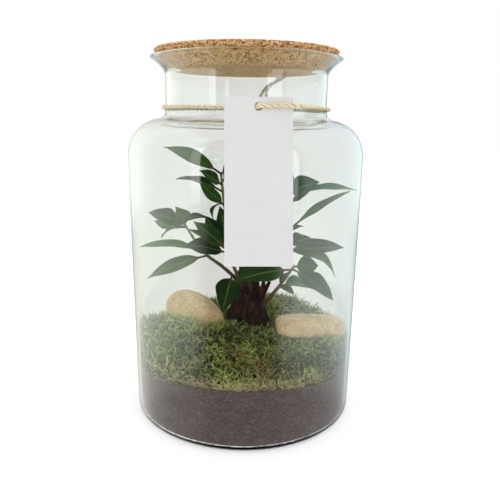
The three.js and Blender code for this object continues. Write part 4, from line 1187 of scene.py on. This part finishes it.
def sprigs(bearings, count, seed):
    """Sprigs scattered evenly over a sector. Each leans down the slope and a random way besides."""
    draw = np.random.default_rng(seed)
    start, end = np.radians(bearings)
    outer = body_inner_radius(50) - 0.8
    tries = count * 2
    angle = draw.uniform(start, end, tries)
    radius = np.sqrt(draw.uniform(MOSS["inner"] ** 2, outer**2, tries))
    x, y = radius * np.cos(angle), radius * np.sin(angle)
    wall = np.arange(tries) % WALL_EVERY == 0
    x, y = (np.where(wall, outer * turn(angle), flat) for turn, flat in ((np.cos, x), (np.sin, y)))
    z = moss_top(x, y)
    z = np.where(wall, soil_top(x, y) + (z - soil_top(x, y)) * draw.uniform(0, 1, tries), z)
    free = np.flatnonzero(clear_ground(x, y, z - 2))[:count]
    x, y, z, wall, angle = x[free], y[free], z[free], wall[free], angle[free]
    step, n = 1.5, len(free)
    z = np.where(wall, z, z + 1.3 * value_noise(np.stack([x, y, z], -1), 5.0, seed + 30))
    slope = np.stack([moss_top(x + step, y) - moss_top(x - step, y),
                      moss_top(x, y + step) - moss_top(x, y - step)], -1)
    slope = np.clip(slope / (2 * step), -1.5, 1.5)
    up = normalised(np.stack([-slope[:, 0], -slope[:, 1], np.ones(n)], -1))
    drift = np.stack([value_noise(np.stack([x, y, z], -1), 11.0, seed + 20 + k) for k in range(3)], -1)
    up += 0.8 * drift + draw.normal(0, 0.42, (n, 3))
    up[:, 2] = np.maximum(up[:, 2], 0.1)
    swing = draw.uniform(-1.3, 1.3, n)
    along_wall = np.stack([-np.sin(angle) * np.sin(swing), np.cos(angle) * np.sin(swing), np.cos(swing)], -1)
    up = normalised(np.where(wall[:, None], along_wall, up))
    front = draw.normal(size=(n, 3)) + [0, -0.35, -0.3]
    side = normalised(np.cross(up, front))
    front = np.cross(side, up)
    length = draw.uniform(*SPRIG_LENGTH, n)
    wide = draw.uniform(*SPRIG_WIDTH, n) * SPRIG_FULL_LENGTH / length
    root = np.stack([x, y, z], -1) - up * (length * draw.uniform(0.3, 0.6, n))[:, None]
    local = SPRIG_POINTS[None] * length[:, None, None] * np.stack([np.ones(n), wide, np.ones(n)], 1)[:, None]
    points = root[:, None] + local[..., :1] * front[:, None] + local[..., 1:2] * side[:, None]
    points = points + local[..., 2:] * up[:, None]
    far = np.hypot(points[..., 0], points[..., 1])
    pull = np.minimum(1, (body_inner_radius(points[..., 2]) - GAP - 0.05) / np.maximum(far, 1e-6))
    points[..., :2] *= pull[..., None]
    points[..., 2] = np.maximum(points[..., 2], soil_top(points[..., 0], points[..., 1]) - 0.6)
    patches = 0.6 * value_noise(root, 14.0, seed) + 0.35 * value_noise(root, 5.0, seed + 1)
    tone = np.clip(0.44 + patches + draw.normal(0, 0.22, n), 0, 1)
    straw = np.exp(-((x - 15) / 5.5) ** 2 - ((y + 76) / 15) ** 2)
    straw = straw + 0.9 * np.clip(value_noise(root, 10.0, 90) - 0.25, 0, 0.7)
    straw = np.maximum(straw, np.where(wall, 0.7 * np.clip(1.4 - (z - soil_top(x, y)) / 9, 0, 1), 0))
    rust = (draw.random(n) < 0.01 + 0.16 * np.exp(-((x + 3) ** 2 + (y + 58) ** 2) / 110)).astype(float)
    values = {"reach": np.tile(SPRIG_SHARE, n)}
    for key, numbers in (("tone", tone), ("straw", straw), ("rust", rust)):
        values[key] = np.repeat(numbers, len(SPRIG_POINTS))
    return points.reshape(-1, 3), copies_of_faces(SPRIG_FACES, len(SPRIG_POINTS), n), values


# %% Moss
moss, tree, shader, place = new_material("moss", Roughness=0.85, Specular_IOR_Level=0.12)
tone, reach = attribute(tree, "tone"), attribute(tree, "reach")
# Each sprig is darker towards its root: partly older growth, partly painted shade that falls deep among the
# sprigs.
old_growth_and_shade = ramp(tree, tone, [
    (0.0, (0.026, 0.022, 0.008)), (0.4, (0.045, 0.052, 0.012)), (1.0, (0.090, 0.115, 0.020))])
young = ramp(tree, tone, [(0.0, (0.14, 0.12, 0.06)), (0.35, (0.34, 0.39, 0.12)), (0.7, (0.62, 0.72, 0.20)),
                          (1.0, (0.90, 0.93, 0.32))])
ripe = map_range(tree, reach, 0.2, 0.85)
green = mix(tree, ripe, old_growth_and_shade, young)
straw = ramp(tree, ripe, [(0.0, (0.13, 0.09, 0.05)), (1.0, (0.62, 0.50, 0.30))])
green = mix(tree, attribute(tree, "straw"), green, straw)
rust = ramp(tree, ripe, [(0.0, (0.12, 0.045, 0.012)), (1.0, (0.46, 0.18, 0.04))])
green = mix(tree, attribute(tree, "rust"), green, rust)
# The cushion under the sprigs, whose reach is below zero, is painted nearly black: partly the moss's own
# dark lower layer, partly painted shade in the gaps between the sprigs.
earth_and_shade = map_range(tree, reach, 0.0, -0.2, 0.0, 0.9)
green = mix(tree, earth_and_shade, green, (0.030, 0.026, 0.010))
grain = ramp(tree, noise(tree, place, 1200.0, 3.0), [(0.35, (0.72, 0.72, 0.72)), (0.65, (1.1, 1.1, 1.1))])
paint(tree, shader, mix(tree, 1.0, green, grain, "MULTIPLY"))

for number, (name, bearings) in enumerate(CUSHIONS.items()):
    parts = [cushion_sheet(bearings), sprigs(bearings, SPRIGS_EACH, 70 + number)]
    add_piece(name, make_mesh(name, *joined(parts), smooth=False), moss, merge=False)

# %% [markdown]
# ## Floor and light
#
# A white floor runs into a white world, so no horizon shows. Glass shows whatever stands round it, so
# the world answers each kind of ray with a light of its own.
#
# Rays that light a surface find the room light, which is nearly even and a little stronger from above.
# Rays that the glass mirrors find a studio all round the jar. It is dark behind the camera, which
# keeps the middle of the glass clear, and bright at both sides, which lays a pale haze on the glass.
# Soft boxes stand between, whose mirror images are the tall stripes. After more than two walls of
# glass most of the studio gives way to an even glow, so that the far wall mirrors it only faintly.
# Rays that pass through the glass unmirrored find a backdrop, pale in the middle and greyer at its
# sides. The camera itself sees plain white. Mirrored and bent rays don't meet the floor, and the
# studio's own ground stands in for it.

# %% Floor
FLOOR_HALF, FLOOR_BELOW = 3000.0, 0.05
corners = np.array([(-1, -1), (1, -1), (1, 1), (-1, 1)]) * FLOOR_HALF
corners = np.hstack([corners, np.full((4, 1), -FLOOR_BELOW)])
floor_mesh = make_mesh("floor", corners, np.array([[0, 1, 2, 3]]), smooth=False)
paper_white, tree, shader, place = new_material(
    "floor", Roughness=1.0, Base_Color=(0.93, 0.93, 0.93, 1), Emission_Color=(1, 1, 1, 1),
    Emission_Strength=0.22, Specular_IOR_Level=0.0)
floor_mesh.materials.append(paper_white)
floor = bpy.data.objects.new("floor", floor_mesh)
scene.collection.objects.link(floor)
floor.visible_glossy = False
floor.visible_transmission = False

# %% The studio round the jar
# Levels of light by bearing in degrees, where 0 is towards the camera and plus is to the right. A
# level is one number for grey, or one each for red, green and blue.
BRIGHTEST = 8.0
SIDES = [(-180, 0.6), (-165, (0.75, 0.76, 0.73)), (-120, (1.9, 2.0, 1.85)), (-60, (2.3, 2.45, 2.2)),
         (-53, (2.1, 2.2, 2.0)), (-52, (1.3, 1.3, 1.25)), (-42, 1.0), (-41, 0.05), (35, 0.05), (36, 0.2),
         (51, 0.3), (60, (1.3, 1.55, 1.5)), (90, (1.6, 1.9, 1.92)), (150, (1.0, 1.13, 1.18)),
         (165, (0.75, 0.8, 0.82)), (180, 0.6)]
GROUND = [(-180, (0.3, 0.3, 0.28)), (-165, (0.45, 0.46, 0.43)), (-135, (1.1, 1.15, 1.02)),
          (-90, (2.1, 2.35, 1.95)), (-55, (2.1, 2.35, 1.95)), (-42, (0.9, 0.95, 0.8)), (-34, 0.12),
          (-25, 0.05), (28, 0.05), (38, (1.1, 1.15, 1.05)), (55, (2.1, 2.4, 2.15)), (90, (1.8, 2.1, 2.0)),
          (135, (0.95, 1.1, 1.12)), (165, (0.45, 0.5, 0.51)), (180, (0.3, 0.3, 0.28))]
FLOOR_GLOW = [(-180, 0.7), (-130, (0.9, 0.92, 0.86)), (-90, (0.65, 0.66, 0.6)), (-55, (0.35, 0.36, 0.32)),
              (-25, 0.06), (25, 0.06), (55, (0.22, 0.23, 0.2)), (90, (0.4, 0.42, 0.4)),
              (130, (0.52, 0.54, 0.56)), (180, 0.6)]
BOXES = [{"bearing": (-52, -42), "height": (-9, 34), "glow": 3.4},
         {"bearing": (29, 51), "height": (-2, 30), "glow": (3.0, 3.1, 3.2)},
         {"bearing": (36, 51), "height": (-9, 40), "glow": (2.4, 2.6, 2.8)},
         {"bearing": (-29, -24), "height": (2, 9), "glow": 1.6}]
BOX_SOFT = {"bearing": 0.5, "height": 1.5}
CEILING_FROM, CEILING_GLOW = 58.0, 1.3
ROOM_LIGHT = [(0.0, 1.05), (0.5, 1.05), (0.75, 1.2), (1.0, 1.15)]
FAR_WALL, FAR_GLOW, MANY_WALLS = 0.2, 0.85, 2.5
BACKDROP, BACKDROP_EDGE, SEEN_HALF = 0.97, 0.80, 0.2

world = bpy.data.worlds.new("studio")
scene.world = world
world.use_nodes = True
tree = world.node_tree
tree.nodes.clear()


def dimmed(level):
    """A level of light, one number or three, as a colour in parts of the brightest."""
    return tuple(v / BRIGHTEST for v in (level if isinstance(level, tuple) else (level,) * 3))


def within(value, low, high, soft):
    """One inside a range of degrees and zero outside, with soft borders."""
    rise = map_range(tree, value, low - soft, low + soft)
    return math(tree, "MULTIPLY", rise, map_range(tree, value, high + soft, high - soft))


way = node(tree, "SeparateXYZ", {"Vector": node(tree, "TexCoord").outputs["Generated"]})
forward = math(tree, "MULTIPLY", way.outputs["Y"], -1.0)
bearing = math(tree, "DEGREES", math(tree, "ARCTAN2", way.outputs["X"], forward))
height = math(tree, "DEGREES", math(tree, "ARCSINE", way.outputs["Z"]))
turn_share = map_range(tree, bearing, -180.0, 180.0)


def ring(levels):
    """The colour of the studio all round at one height, as a ramp over the bearing."""
    return ramp(tree, turn_share, [((at + 180) / 360, dimmed(level)) for at, level in levels])


glow = ring(SIDES)
for box in BOXES:
    across, tall = (within(way_to, *box[key], BOX_SOFT[key])
                    for way_to, key in ((bearing, "bearing"), (height, "height")))
    glow = mix(tree, math(tree, "MULTIPLY", across, tall), glow, dimmed(box["glow"]))
for levels, low, high in ((GROUND, -12.0, -7.0), (FLOOR_GLOW, -29.0, -21.0)):
    glow = mix(tree, map_range(tree, height, high, low), glow, ring(levels))
glow = mix(tree, map_range(tree, height, CEILING_FROM, CEILING_FROM + 4), glow, dimmed(CEILING_GLOW))

# %% What each kind of ray finds
path = node(tree, "LightPath")
room = ramp(tree, map_range(tree, way.outputs["Z"], -1.0, 1.0), [(at, dimmed(v)) for at, v in ROOM_LIGHT])
far = math(tree, "GREATER_THAN", path.outputs["Transmission Depth"], MANY_WALLS)
glow = mix(tree, math(tree, "MULTIPLY", far, 1 - FAR_WALL), glow, dimmed(FAR_GLOW))
glow = mix(tree, math(tree, "GREATER_THAN", path.outputs["Glossy Depth"], 0.5), room, glow)
turned_aside = math(tree, "ADD", path.outputs["Glossy Depth"], path.outputs["Diffuse Depth"])
straight = math(tree, "LESS_THAN", turned_aside, 0.5)
straight = math(tree, "MULTIPLY", path.outputs["Is Transmission Ray"], straight)
aside = math(tree, "ABSOLUTE", way.outputs["X"])
backdrop = ramp(tree, aside, [(0.0, dimmed(BACKDROP)), (SEEN_HALF, dimmed(BACKDROP_EDGE))])
glow = mix(tree, straight, glow, backdrop)
glow = mix(tree, path.outputs["Is Camera Ray"], glow, dimmed(1.0))
light = node(tree, "Background", {"Color": glow, "Strength": BRIGHTEST})
tree.links.new(light.outputs[0], node(tree, "OutputWorld").inputs["Surface"])
print("nodes in the world:", len(tree.nodes))

scene.view_settings.view_transform = "Standard"
scene.cycles.transparent_max_bounces = 16
